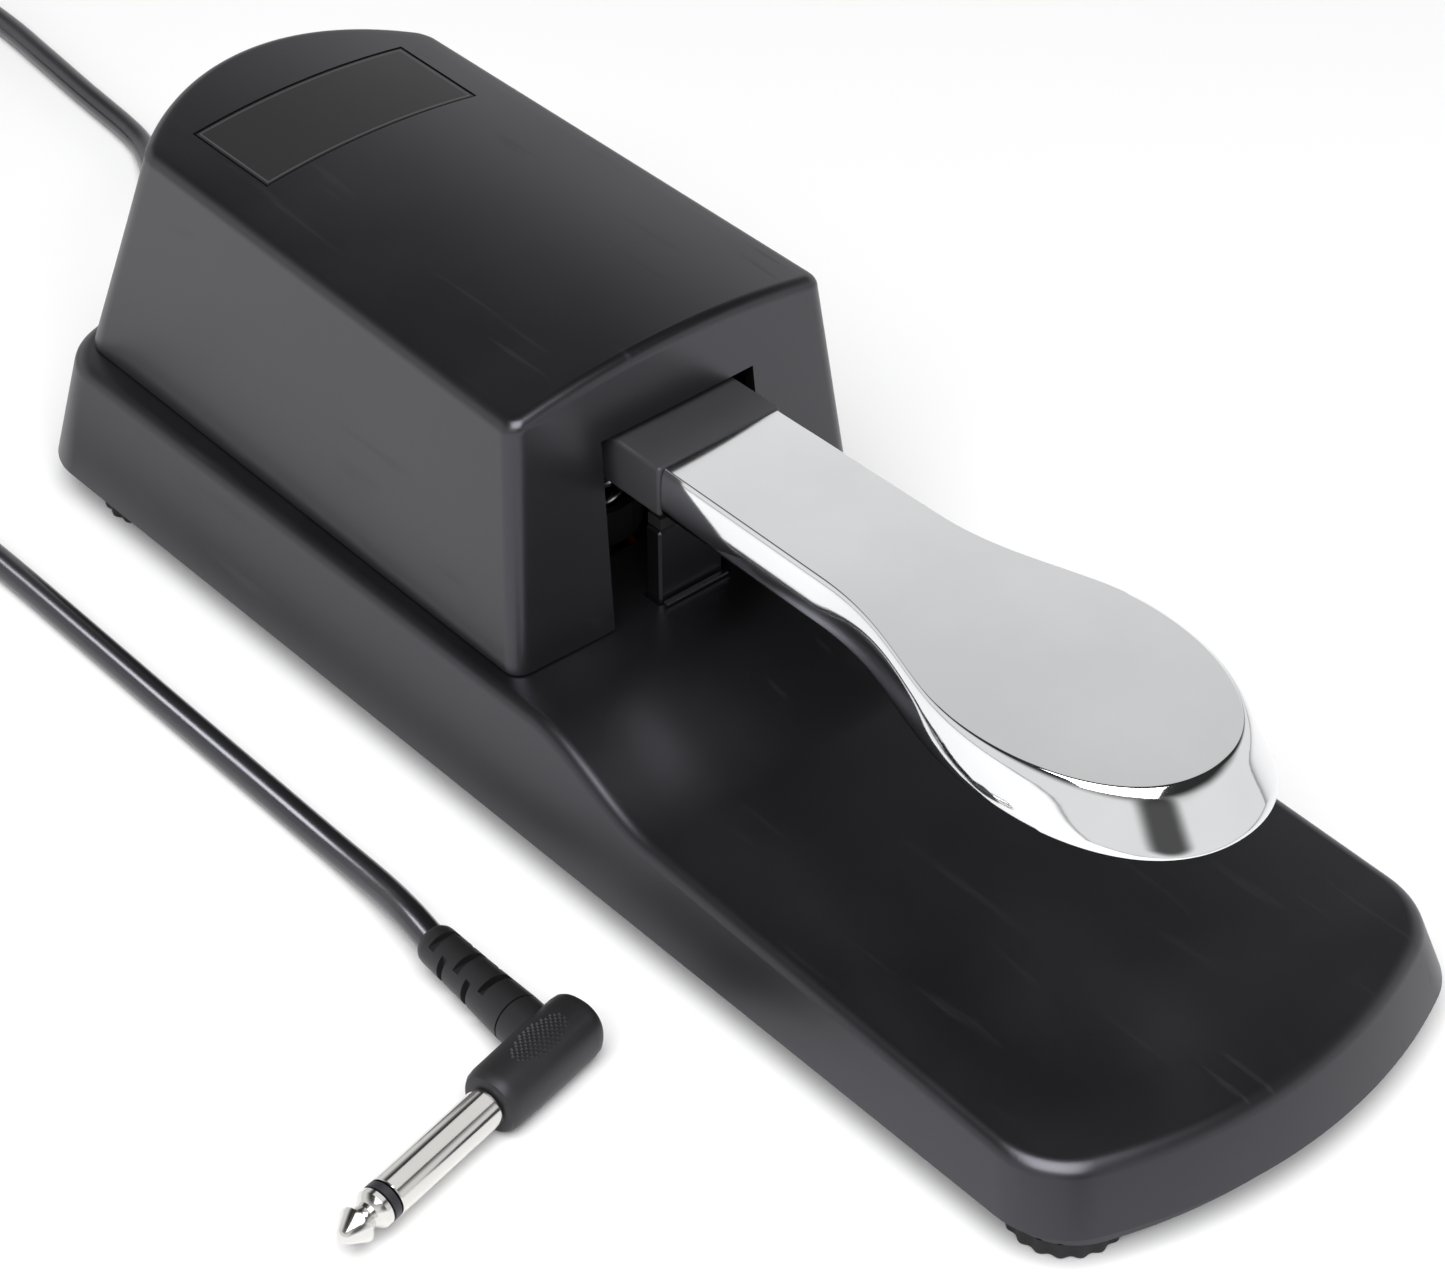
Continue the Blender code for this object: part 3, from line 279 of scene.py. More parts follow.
LOOK = {
    "housing_abs": plastic("housing_look", (0.0020, 0.0020, 0.0024), 0.33, specular=0.85),
    "base_abs": plastic("base_look", (0.0021, 0.0021, 0.0025), 0.34, specular=0.85),
    "label_film": label_film("label_look"),
    "black_steel": plastic("arm_look", (0.030, 0.030, 0.033), 0.42, 0.06, 1500.0),
    "chrome": metal("chrome_look", (0.86, 0.865, 0.875), 0.055, 0.0, 0.03),
    "zinc_steel": metal("zinc_look", (0.55, 0.56, 0.58), 0.28, 0.1, 0.08),
    "spring_steel": metal("spring_look", (0.5, 0.5, 0.52), 0.24, 0.06),
    "rubber": plastic("rubber_look", (0.012, 0.012, 0.012), 0.72, 0.3, 1200.0, 0.35),
    "nylon": plastic("nylon_look", (0.010, 0.010, 0.010), 0.45, 0.05, 900.0),
    "switch_plastic": plastic("switch_look", (0.012, 0.012, 0.014), 0.45),
    "slider_plastic": plastic("slider_look", (0.45, 0.45, 0.45), 0.45),
    "cord_pvc": plastic("cord_look", (0.006, 0.006, 0.0065), 0.24, 0.04, 900.0, 0.8),
    "plug_moulding": plastic("moulding_look", (0.010, 0.010, 0.010), 0.5, 0.2, 1500.0, 0.45),
    "nickel": metal("nickel_look", (0.74, 0.73, 0.71), 0.13, 0.02, 0.05),
    "wire_red": plastic("wire_look", (0.35, 0.015, 0.015), 0.4),
}
for part in frame["record"]["subparts"]:
    shown = frame["nodes"][part["node"]]
    for holder in shown.material_slots:
        holder.material = LOOK[part["material_slot"]]


# ---- mesh helpers -----------------------------------------------------------------------------
def add_object(name, mesh):
    obj = bpy.data.objects.new(name, mesh)
    bpy.context.scene.collection.objects.link(obj)
    return obj


def mesh_from_bmesh(name, work):
    bmesh.ops.recalc_face_normals(work, faces=work.faces)
    mesh = bpy.data.meshes.new(name)
    work.to_mesh(mesh)
    work.free()
    return mesh


def box(name, low, high):
    work = bmesh.new()
    middle = (Vector(low) + Vector(high)) / 2
    size = Vector(high) - Vector(low)
    bmesh.ops.create_cube(work, size=1.0, matrix=Matrix.Translation(middle) @ Matrix.Diagonal((*size, 1.0)))
    return add_object(name, mesh_from_bmesh(name, work))


def rod(name, start, end, radius, segments=48):
    start, end = Vector(start), Vector(end)
    turn = (end - start).to_track_quat("Z", "Y").to_matrix().to_4x4()
    work = bmesh.new()
    bmesh.ops.create_cone(
        work, cap_ends=True, segments=segments, radius1=radius, radius2=radius,
        depth=(end - start).length, matrix=Matrix.Translation((start + end) / 2) @ turn,
    )
    return add_object(name, mesh_from_bmesh(name, work))


def skin(work, rings):
    """Rings of equal length joined by faces; gives back the rows of vertices."""
    rows = [[work.verts.new(point) for point in ring] for ring in rings]
    count = len(rows[0])
    for low, high in zip(rows, rows[1:]):
        for i in range(count):
            j = (i + 1) % count
            work.faces.new((low[i], low[j], high[j], high[i]))
    return rows


def loft(name, rings):
    work = bmesh.new()
    rows = skin(work, rings)
    work.faces.new(list(reversed(rows[0])))
    work.faces.new(rows[-1])
    return add_object(name, mesh_from_bmesh(name, work))


def slab(name, outline, low_z, high_z):
    return loft(name, [[(x, y, z) for x, y in outline] for z in (low_z, high_z)])


def side_slab(name, outline, low_x, high_x):
    return loft(name, [[(x, y, z) for y, z in outline] for x in (low_x, high_x)])


def lathe(name, profile, place, heading, steps=72):
    """An (r, z) profile in metres turned about its own axis, as one closed mesh."""
    turn = Vector(heading).to_track_quat("Z", "Y").to_matrix()
    rings = []
    for r, z in profile:
        ring = [Vector((r * cos(2 * pi * i / steps), r * sin(2 * pi * i / steps), z)) for i in range(steps)]
        rings.append([Vector(place) + turn @ p for p in ring])
    return loft(name, rings)


def boolean(obj, other, operation):
    change = obj.modifiers.new(operation.lower(), "BOOLEAN")
    change.operation = operation
    change.object = other
    change.solver = "EXACT"


def cut(obj, *cutters):
    for cutter in cutters:
        boolean(obj, cutter, "DIFFERENCE")


def join(obj, *others):
    for other in others:
        boolean(obj, other, "UNION")


def soften(obj, width, segments=4, degrees=40.0):
    bevel = obj.modifiers.new("edges", "BEVEL")
    bevel.width = width
    bevel.segments = segments
    bevel.limit_method = "ANGLE"
    bevel.angle_limit = radians(degrees)
    bevel.use_clamp_overlap = False


def bake(obj, smooth=32.0):
    """Applies the modifiers, removes the cutters and sets smooth shading with sharp edges."""
    bpy.context.view_layer.update()
    used = [m.object for m in obj.modifiers if m.type == "BOOLEAN"]
    for helper in used:
        bake_inner(helper)
    bpy.context.view_layer.update()
    seen = obj.evaluated_get(bpy.context.evaluated_depsgraph_get())
    mesh = bpy.data.meshes.new_from_object(seen)
    obj.modifiers.clear()
    obj.data = mesh
    for helper in used:
        bpy.data.objects.remove(helper, do_unlink=True)
    mesh.shade_smooth()
    mesh.set_sharp_from_angle(angle=radians(smooth))
    return obj


def bake_inner(obj):
    if obj.modifiers:
        bake(obj)


def finish_piece(obj, look, body, nodes):
    """Gives a piece its finish, its body and the CAD nodes that it stands for."""
    obj.data.materials.clear()
    obj.data.materials.append(LOOK[look])
    for face in getattr(obj.data, "polygons", []):
        face.material_index = 0
    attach(obj, body)
    if nodes:
        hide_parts(*nodes)
    return obj


# ---- cord: from the boot to the coil, round it, and on to the plug -----------------------------
REAR_ROUTE_MM = [
    (12.0, 155.6, 13.0), (12.4, 163.0, 12.4), (15.0, 172.0, 9.6), (20.0, 181.0, 6.0), (25.8, 189.6, 3.4),
    (30.2, 198.4, 2.5), (32.4, 207.0, 2.5), (34.0, 226.0, 2.5), (35.6, 243.0, 2.5), (37.0, 260.7, 2.5),
    (36.4, 279.0, 2.5), (30.6, 295.5, 2.5), (19.6, 306.8, 2.5), (5.0, 312.4, 2.5), (-10.0, 313.4, 2.5),
]
PLUG_ROUTE_MM = [
    (-67.3, 258.0, 5.2), (-67.2, 240.0, 3.0), (-66.0, 205.0, 2.5), (-64.4, 165.0, 2.5), (-63.1, 130.0, 2.5),
    (-62.6, 104.0, 2.5), (-62.7, 80.0, 2.5), (-62.9, 57.0, 2.5), (-63.0, 34.0, 2.5), (-63.2, 12.0, 2.7),
    (-63.9, -2.0, 3.9), (-65.1, -11.0, 5.1), (-66.2, -18.2, 5.4),
]
COIL_CORE = 19.07 * MM
COIL_PITCH = 5.0 * MM
COIL_TURNS = 7.25
COIL_ROUNDING = 0.06
COIL_LIFT_TURNS = 0.56
COIL_LAYERS = (2.5 * MM, 7.7 * MM)
COIL_KNOTS_A_TURN = 20


def ease(t):
    t = min(1.0, max(0.0, t))
    return t * t * (3 - 2 * t)


def coil_points():
    """A flat spiral inwards, a lift, and a second spiral outwards on top of the first."""
    points = []
    steps = round(COIL_TURNS * COIL_KNOTS_A_TURN)
    for i in range(steps + 1):
        turns = COIL_TURNS * (i / steps - 0.5)
        radius = COIL_CORE + COIL_PITCH * (hypot(turns, COIL_ROUNDING) - COIL_ROUNDING)
        rise = ease(turns / COIL_LIFT_TURNS + 0.5)
        height = COIL_LAYERS[0] + (COIL_LAYERS[1] - COIL_LAYERS[0]) * rise
        angle = pi / 2 + 2 * pi * COIL_TURNS * i / steps
        points.append(COIL_CENTRE + Vector((radius * cos(angle), radius * sin(angle), height)))
    return points


def fine_route(knots, steps=10):
    """A Catmull-Rom curve through the knots."""
    ends = [2 * knots[0] - knots[1], *knots, 2 * knots[-1] - knots[-2]]
    fine = []
    for a, b, c, d in zip(ends, ends[1:], ends[2:], ends[3:]):
        fine += interpolate_bezier(b, b + (c - a) / 6, c - (d - b) / 6, c, steps + 1)[:-1]
    return fine + [knots[-1]]


def make_cord():
    rear = [Vector(p) * MM for p in REAR_ROUTE_MM]
    front = [Vector(p) * MM for p in PLUG_ROUTE_MM]
    points = fine_route(rear + coil_points() + front, 4)
    curve = bpy.data.curves.new("pedal_cord", "CURVE")
    curve.dimensions = "3D"
    curve.bevel_depth = CORD_RADIUS
    curve.bevel_resolution = 6
    curve.use_fill_caps = True
    spline = curve.splines.new("POLY")
    spline.points.add(len(points) - 1)
    for knot, point in zip(spline.points, points):
        knot.co = (*point, 1.0)
    spline.use_smooth = True
    cord = add_object("pedal_cord", curve)
    finish_piece(cord, "cord_pvc", "base", ["cord_rear", "cord_coil", "cord_plug_end"])
    return cord


def plug_point(along, aside, up=0.0):
    direction = Vector((cos(PLUG_HEADING), sin(PLUG_HEADING), 0))
    side = Vector((direction.y, -direction.x, 0))
    return PLUG_CORNER + direction * along * MM + side * aside * MM + Vector((0, 0, up * MM))


def make_plug_body():
    """Rounded moulding: sections along the shaft that swell from its end faces."""
    rings = []
    for along, share in ((-7.0, 0.80), (-6.8, 0.90), (-6.2, 0.97), (-5.0, 1.0), (4.0, 1.0), (12.0, 0.985),
                         (13.2, 0.95), (13.8, 0.88), (14.0, 0.78)):
        ring = []
        for i in range(64):
            angle = 2 * pi * i / 64
            wide = BODY_WIDE * share * abs(cos(angle)) ** BODY_POWER * (1 if cos(angle) >= 0 else -1)
            tall = BODY_TALL * share * abs(sin(angle)) ** BODY_POWER * (1 if sin(angle) >= 0 else -1)
            ring.append(plug_point(along, wide, tall))
        rings.append(ring)
    body = loft("plug_moulding_body", rings)
    out = Vector((cos(RELIEF_HEADING), sin(RELIEF_HEADING), 0))
    join(body, rod("plug_neck", PLUG_CORNER + out * 2 * MM, PLUG_CORNER + out * NECK_REACH, 4.1 * MM))
    bake(body)
    return finish_piece(body, "plug_moulding", "base", ["plug_body"])


def body_top(aside):
    """Height of the plug body's upper face at a distance from its middle, in millimetres."""
    return BODY_TALL * (1 - (abs(aside) / BODY_WIDE) ** (2 / BODY_POWER)) ** (BODY_POWER / 2)


def make_plug_grip():
    """The cross-hatched oval on the body's upper face, as small pyramids."""
    work = bmesh.new()
    pitch, rows = 0.95, 7
    for i in range(-rows, rows + 1):
        for j in range(-rows, rows + 1):
            along, aside = (i + j) * pitch / 2 + 3.0, (i - j) * pitch / 2 - 0.6
            if ((along - 3.0) / 5.6) ** 2 + ((aside + 0.6) / 2.5) ** 2 > 1:
                continue
            half = pitch * 0.46
            foot = [plug_point(along + dx * half, aside + dy * half, body_top(aside + dy * half) - 0.08)
                    for dx, dy in ((1, 0), (0, 1), (-1, 0), (0, -1))]
            corners = [work.verts.new(p) for p in foot]
            peak = work.verts.new(plug_point(along, aside, body_top(aside) + 0.30))
            work.faces.new(list(reversed(corners)))
            for a, b in zip(corners, corners[1:] + corners[:1]):
                work.faces.new((a, b, peak))
    grip = add_object("plug_grip", mesh_from_bmesh("plug_grip", work))
    return finish_piece(grip, "plug_moulding", "base", [])


def make_plug_relief():
    """Tapered boot with staggered slots cut across it."""
    out = Vector((cos(RELIEF_HEADING), sin(RELIEF_HEADING), 0))
    root = PLUG_CORNER + out * (NECK_REACH + GAP)
    length = RELIEF_REACH - NECK_REACH - GAP
    profile = [(4.1 * MM, 0.0), (3.95 * MM, 3.0 * MM), (3.6 * MM, 10.0 * MM), (3.35 * MM, length - 1.2 * MM),
               (3.25 * MM, length - 0.5 * MM), (3.0 * MM, length)]
    boot = lathe("plug_boot", profile, root, out)
    side = Vector((out.y, -out.x, 0))
    for i in range(5):
        middle = root + out * (5.2 + 3.1 * i) * MM
        for sign in (-1, 1):
            axis = Vector((0, 0, 1)) if i % 2 == 0 else side
            wide = -side if i % 2 == 0 else Vector((0, 0, 1))
            centre = middle + axis * sign * 4.1 * MM
            slot = box("boot_slot", (-0.65 * MM, -2.7 * MM, -1.9 * MM), (0.65 * MM, 2.7 * MM, 1.9 * MM))
            slot.data.transform(Matrix((
                (out.x, wide.x, axis.x, centre.x), (out.y, wide.y, axis.y, centre.y),
                (out.z, wide.z, axis.z, centre.z), (0, 0, 0, 1),
            )))
            cut(boot, slot)
    bake(boot)
    return finish_piece(boot, "plug_moulding", "base", ["plug_relief"])


def make_plug_metal():
    axis = plug_point(1, 0) - plug_point(0, 0)
    z0 = 14.3
    shapes = {
        "plug_barrel": ([(3.0, 0.0), (3.175, 0.15), (3.175, 21.25), (3.05, 21.4)], "nickel", "plug_sleeve"),
        "plug_ring": (
            [(3.0, 21.7), (3.1, 21.8), (3.1, 22.9), (3.0, 23.0)], "switch_plastic", "plug_insulator"),
        "plug_point": (
            [(2.95, 23.3), (3.1, 23.4), (3.08, 24.2), (2.7, 24.8), (2.15, 25.3), (1.98, 25.9), (2.15, 26.5),
             (2.65, 27.1), (2.95, 27.6), (2.85, 28.0), (1.2, 30.5), (0.7, 30.9), (0.2, 31.0)],
            "nickel", "plug_tip"),
    }
    made = []
    for name, (profile, look, node) in shapes.items():
        piece = lathe(name, [(r * MM, (z0 + z) * MM) for r, z in profile], PLUG_CORNER, axis, 96)
        bake(piece, 28.0)
        made.append(finish_piece(piece, look, "base", [node]))
    return made


def make_gland():
    profile = [(3.3 * MM, -5.6 * MM), (3.3 * MM, -0.6 * MM), (5.2 * MM, -0.6 * MM), (5.4 * MM, -0.4 * MM),
               (5.4 * MM, 1.9 * MM), (5.1 * MM, 2.3 * MM), (4.5 * MM, 2.9 * MM), (4.3 * MM, 4.0 * MM),
               (3.2 * MM, 24.6 * MM), (3.05 * MM, 25.6 * MM), (2.8 * MM, 26.0 * MM)]
    gland = bake(lathe("cord_boot", profile, GLAND_FACE, (0, 1, 0)))
    return finish_piece(gland, "cord_pvc", "base", ["cord_gland"])


cord = make_cord()
plug_metal = make_plug_metal()
plug_pieces = [make_plug_body(), make_plug_grip(), make_plug_relief(), *plug_metal]
boot = make_gland()


# ---- base and housing ---------------------------------------------------------------------------
def bowed_end(half_width, reach, radius, corner, corner_steps=16, end_steps=40):
    across = half_width - corner
    bow_centre = reach - radius
    along = bow_centre + sqrt((radius - corner) ** 2 - across ** 2)
    turn = atan2(along - bow_centre, across)
    right = [(across + corner * cos(turn * i / corner_steps), along + corner * sin(turn * i / corner_steps))
             for i in range(corner_steps + 1)]
    angles = [turn + (pi - 2 * turn) * i / end_steps for i in range(1, end_steps)]
    bow = [(radius * cos(a), bow_centre + radius * sin(a)) for a in angles]
    return right + bow + [(-x, y) for x, y in reversed(right)]


def bowed_outline(half_width, front, rear, front_radius, rear_radius, front_corner, rear_corner):
    rear_end = bowed_end(half_width, rear, rear_radius, rear_corner)
    front_end = bowed_end(half_width, -front, front_radius, front_corner)
    return rear_end + [(-x, -y) for x, y in front_end]


def base_ring(z, inset):
    lean = BASE_DRAFT * (z - BASE_UNDERSIDE) / (LEDGE_Z - BASE_UNDERSIDE) + inset
    reach = BASE_HALF_LENGTH - lean
    outline = bowed_outline(
        BASE_HALF_WIDTH - lean, -reach, reach, BASE_END_RADIUS - lean, BASE_END_RADIUS - lean,
        BASE_CORNER - inset, BASE_CORNER - inset,
    )
    return [(x, y, z) for x, y in outline]


def rim_ring(z):
    lean = RIM_LEAN * (z - RIM_Z)
    front = TOE_LEAN * lean - RIM["half_length"]
    outline = bowed_outline(
        RIM["half_width"] - lean, front, RIM["half_length"] - lean,
        RIM["end_radius"] - lean, RIM["end_radius"] - lean, RIM["corner"], RIM["corner"],
    )
    return [(x, y, z) for x, y in outline]


def deck_height(y):
    if y >= STEP_START_Y:
        return LEDGE_Z
    slope = (PLATFORM_Z - PLATFORM_TOE_Z) / (BASE_HALF_LENGTH + STEP_END_Y)
    if y <= STEP_END_Y:
        return PLATFORM_Z - slope * (STEP_END_Y - y)
    return LEDGE_Z + (PLATFORM_Z - LEDGE_Z) * ease((STEP_START_Y - y) / (STEP_START_Y - STEP_END_Y))


def above_deck(name, drop, steps):
    far = BASE_HALF_LENGTH + 20 * MM
    middle = [STEP_END_Y + (STEP_START_Y - STEP_END_Y) * i / steps for i in range(steps + 1)]
    line = [(y, deck_height(y) - drop) for y in (-far, *middle, far)]
    return side_slab(name, line + [(far, 60 * MM), (-far, 60 * MM)], -60 * MM, 60 * MM)


def below_deck(name, rings, drop, steps):
    obj = loft(name, rings)
    cut(obj, above_deck(name + "_sky", drop, steps))
    return obj


def make_base():
    above = LEDGE_Z + 6 * MM
    base = below_deck("base_tray", [rim_ring(-4 * MM), rim_ring(above)], 0.0, 28)
    soften(base, 2.0 * MM, 6)
    cut(base, box("base_trim", (-60 * MM, -160 * MM, -20 * MM), (60 * MM, 160 * MM, RIM_Z)))
    skirt = [base_ring(BASE_UNDERSIDE, SKIRT_INSET), base_ring(12 * MM, SKIRT_INSET)]
    join(base, loft("base_skirt", skirt))
    hollow = [base_ring(-6 * MM, BASE_WALL), base_ring(above, BASE_WALL)]
    cut(base, below_deck("base_hollow", hollow, BASE_WALL, 8))
    cut(base, box("deck_window", (-20 * MM, 14 * MM, 10 * MM), (20 * MM, 104 * MM, 40 * MM)))
    cut(base, box("stop_window", (-6.9 * MM, -1.0 * MM, 10 * MM), (6.9 * MM, 3.2 * MM, 40 * MM)))
    for sign_x in (-1, 1):
        for x, y in HOUSING_SCREWS:
            cut(base, rod("deck_pass", (sign_x * x, y, 15 * MM), (sign_x * x, y, 40 * MM), SCREW_HOLE, 14))
    for start, radius in ((-12 * MM, 3.7 * MM), (-0.9 * MM, 5.8 * MM)):
        outside = GLAND_FACE + Vector((0, 8 * MM, 0))
        cut(base, rod("boot_seat", GLAND_FACE + Vector((0, start, 0)), outside, radius))
    bake(base)
    return finish_piece(base, "base_abs", "base", ["base_shell"])


def housing_ring(z, inset, level):
    size = {key: low + (HOUSING_HEAD[key] - low) * level for key, low in HOUSING_FOOT.items()}
    front, rear = size["front"] + inset, size["rear"] - inset
    outline = bowed_outline(
        size["half_width"] - inset, front, rear, 900 * MM, 1 / size["rear_bow"] - inset,
        3.0 * MM - inset * 0.5, 6.0 * MM - inset * 0.5,
    )
    return [(x * (1 - HOUSING_TAPER * (y - front) / (rear - front)), y, z) for x, y in outline]


def roof_height(x, y):
    crown = ROOF_CROWN * (1 - (x / HOUSING_HEAD["half_width"]) ** 2)
    return ROOF_SIDE_Z + crown + ROOF_RISE * (y - HOUSING_HEAD["front"])


def housing_solid(name, inset, low_z, edge, shoulder_steps, columns):
    foot = housing_ring(LEDGE_Z, inset, 0.0)
    head = housing_ring(HOUSING_HEAD_Z, inset, 1.0)
    count = len(foot)

    def wall(i, z):
        share = (z - LEDGE_Z) / (HOUSING_HEAD_Z - LEDGE_Z)
        return Vector(foot[i][:2]).lerp(Vector(head[i][:2]), share)

    shoulder = [wall(i, roof_height(*wall(i, HOUSING_HEAD_Z)) - inset - edge) for i in range(count)]
    rings = [[(*wall(i, low_z), low_z) for i in range(count)]]
    for step in range(shoulder_steps + 1):
        angle = pi / 2 * step / shoulder_steps
        ring = []
        for i, point in enumerate(shoulder):
            along = shoulder[(i + 1) % count] - shoulder[i - 1]
            p = point + Vector((-along.y, along.x)).normalized() * edge * (1 - cos(angle))
            ring.append((*p, roof_height(*p) - inset - edge * (1 - sin(angle))))
        rings.append(ring)
    return crowned(name, rings, inset, columns)


def crowned(name, rings, drop, columns):
    """Closes the last ring with rows that follow the roof's crown."""
    work = bmesh.new()
    rows = skin(work, rings)
    count = len(rows[0])
    work.faces.new(list(reversed(rows[0])))
    rim = rows[-1]
    rear_middle, front_middle = count // 4, count // 4 + count // 2
    right = [rim[i % count] for i in range(rear_middle, front_middle - count - 1, -1)]
    left = [rim[i] for i in range(rear_middle, front_middle + 1)]
    strips = []
    for r, l in zip(right[1:-1], left[1:-1]):
        middle = []
        for k in range(1, columns):
            p = r.co.lerp(l.co, k / columns)
            middle.append(work.verts.new((p.x, p.y, roof_height(p.x, p.y) - drop)))
        strips.append([r, *middle, l])
    for rear, front in zip(strips, strips[1:]):
        for k in range(columns):
            work.faces.new((rear[k], rear[k + 1], front[k + 1], front[k]))
    for tip, strip in ((right[0], strips[0]), (right[-1], strips[-1])):
        for k in range(columns):
            work.faces.new((tip, strip[k], strip[k + 1]))
    return add_object(name, mesh_from_bmesh(name, work))


def label_slab(name, inset, high, low):
    half = LABEL["half_width"] - inset
    rings = []
    for y in (LABEL["front"] + inset, LABEL["rear"] - inset):
        xs = [half * i / 16 for i in range(-16, 17)]
        under = [(x, y, roof_height(x, y) + low) for x in xs]
        over = [(x, y, roof_height(x, y) + high) for x in reversed(xs)]
        rings.append(under + over)
    return loft(name, rings)


def make_housing():
    foot_z = LEDGE_Z + GAP
    housing = housing_solid("housing_cover", 0.0, foot_z, 2.0 * MM, 8, 24)
    cut(housing, housing_solid("housing_hollow", HOUSING_WALL, 20 * MM, 0.8 * MM, 3, 8))
    slot = [
        (-SLOT_HALF_WIDTH - 1.2 * MM, 20 * MM), (SLOT_HALF_WIDTH + 1.2 * MM, 20 * MM),
        (SLOT_HALF_WIDTH, SLOT_TOP_Z), (-SLOT_HALF_WIDTH, SLOT_TOP_Z),
    ]
    cut(housing, loft("pedal_slot", [[(x, y, z) for x, z in slot] for y in (-20 * MM, 9 * MM)]))
    for sign_x in (-1, 1):
        for x, y in HOUSING_SCREWS:
            join(housing, rod("boss", (sign_x * x, y, foot_z), (sign_x * x, y, 44 * MM), BOSS_RADIUS, 24))
            cut(housing, rod("pilot", (sign_x * x, y, 20 * MM), (sign_x * x, y, 40 * MM), SCREW_HOLE, 14))
    join(housing, rod("stop_boss", (0, 36 * MM, 62.5 * MM), (0, 36 * MM, 71.6 * MM), 5 * MM, 24))
    cut(housing, label_slab("label_recess", 0.0, 5 * MM, -LABEL["depth"]))
    bake(housing)
    finish_piece(housing, "housing_abs", "base", ["top_housing"])
    label = bake(label_slab("label_sheet", 0.4 * MM, -0.1 * MM, GAP - LABEL["depth"]))
    finish_piece(label, "label_film", "base", ["label_plate"])


# ---- lever and foot plate -----------------------------------------------------------------------
def make_arm():
    ear = 7.0 * MM
    angles = [pi + pi * i / 24 for i in range(25)]
    ear_arc = [(PIVOT_Y + ear * cos(a), PIVOT_Z + ear * sin(a)) for a in angles]
    outline = [(ARM_FRONT_Y, ARM_BOTTOM_Z), *ear_arc, (PIVOT_Y + ear, ARM_TOP_Z), (ARM_FRONT_Y, ARM_TOP_Z)]
    arm = side_slab("lever_channel", outline, -ARM_HALF_WIDTH, ARM_HALF_WIDTH)
    soften(arm, 0.7 * MM, 4, 50)
    inner = ARM_HALF_WIDTH - ARM_SHEET
    cut(arm, box("channel", (-inner, 7 * MM, 30 * MM), (inner, 120 * MM, ARM_TOP_Z - ARM_SHEET)))
    cut(arm, rod("ear_bore", (-30 * MM, PIVOT_Y, PIVOT_Z), (30 * MM, PIVOT_Y, PIVOT_Z), 4.2 * MM))
    join(arm, box("tongue", (-6.5 * MM, -70 * MM, 53.6 * MM), (6.5 * MM, 0, 56.6 * MM)))
    for y in PLATE_SCREW_YS:
        cut(arm, rod("tongue_hole", (0, y, 40 * MM), (0, y, 70 * MM), SCREW_HOLE, 14))
    bake(arm)
    return finish_piece(arm, "black_steel", "pedal", ["lever_arm"])


def foot_plate_half(steps=40):
    heel = Vector((ARM_HALF_WIDTH, ARM_FRONT_Y - GAP))
    waist = Vector((WAIST_HALF_WIDTH, WAIST_Y))
    widest = Vector((TOE_HALF_WIDTH, TOE_WIDEST_Y))
    toe = Vector((0.0, TOE_Y))
    down = Vector((0.0, -1.0))
    side = [heel.lerp(waist, i / 12) for i in range(12)]
    flare = interpolate_bezier(waist, waist + 17 * MM * down, widest - 18 * MM * down, widest, steps + 1)
    nose_handle = toe + Vector((14.0 * MM, 0.0))
    nose = interpolate_bezier(widest, widest + 15.5 * MM * down, nose_handle, toe, steps + 3)
    return [*side, *flare, *nose[1:]]


def foot_plate_outline(heel_inset, toe_inset):
    right = [Vector(p) for p in foot_plate_half()]
    start, run = TOE_BLEND
    moved = []
    for i, point in enumerate(right):
        ahead = right[min(i + 1, len(right) - 1)] - right[max(i - 1, 0)]
        if i == len(right) - 1:
            ahead = Vector((-1.0, 0.0))
        inward = Vector((ahead.y, -ahead.x)).normalized()
        share = min(1.0, max(0.0, (start - point.y) / run)) ** 1.5
        moved.append(point + (heel_inset + (toe_inset - heel_inset) * share) * inward)
    return [(p.x, p.y) for p in moved] + [(-p.x, p.y) for p in reversed(moved[:-1])]


FOOT_PLATE_LEVELS_MM = [
    (50.80, 1.45, 0.95), (50.85, 1.10, 0.65), (51.10, 0.80, 0.35), (51.50, 0.50, 0.10), (52.00, 0.30, 0.28),
    (52.80, 0.12, 0.85), (53.60, 0.03, 1.42), (54.50, 0.00, 2.07), (55.40, 0.03, 2.71), (56.20, 0.08, 3.28),
    (57.00, 0.15, 3.85), (57.80, 0.27, 4.42), (58.40, 0.40, 4.87), (58.90, 0.55, 5.30), (59.30, 0.72, 5.75),
    (59.58, 0.87, 6.12), (59.74, 1.00, 6.38), (59.80, 1.10, 6.65), (59.80, 1.30, 6.85),
]


def make_foot_plate():
    heel_y = ARM_FRONT_Y - GAP
    rings = []
    for z, heel_inset, toe_inset in FOOT_PLATE_LEVELS_MM:
        ring = [(x, y, z * MM) for x, y in foot_plate_outline(heel_inset * MM, toe_inset * MM)]
        ring[0] = (ring[0][0], heel_y, z * MM)
        ring[-1] = (ring[-1][0], heel_y, z * MM)
        rings.append(ring)
    plate = loft("pedal_plate", rings)
    cut(plate, slab("plate_hollow", foot_plate_outline(3.4 * MM, 5.6 * MM), 40 * MM, 57.0 * MM))
    cut(plate, box("plate_mouth", (-7 * MM, -12 * MM, 40 * MM), (7 * MM, 5 * MM, 57.0 * MM)))
    for y in PLATE_SCREW_YS:
        cut(plate, rod("blind_hole", (0, y, 50 * MM), (0, y, 58.8 * MM), SCREW_HOLE, 14))
    bake(plate, 30.0)
    return finish_piece(plate, "chrome", "pedal", ["foot_plate"])


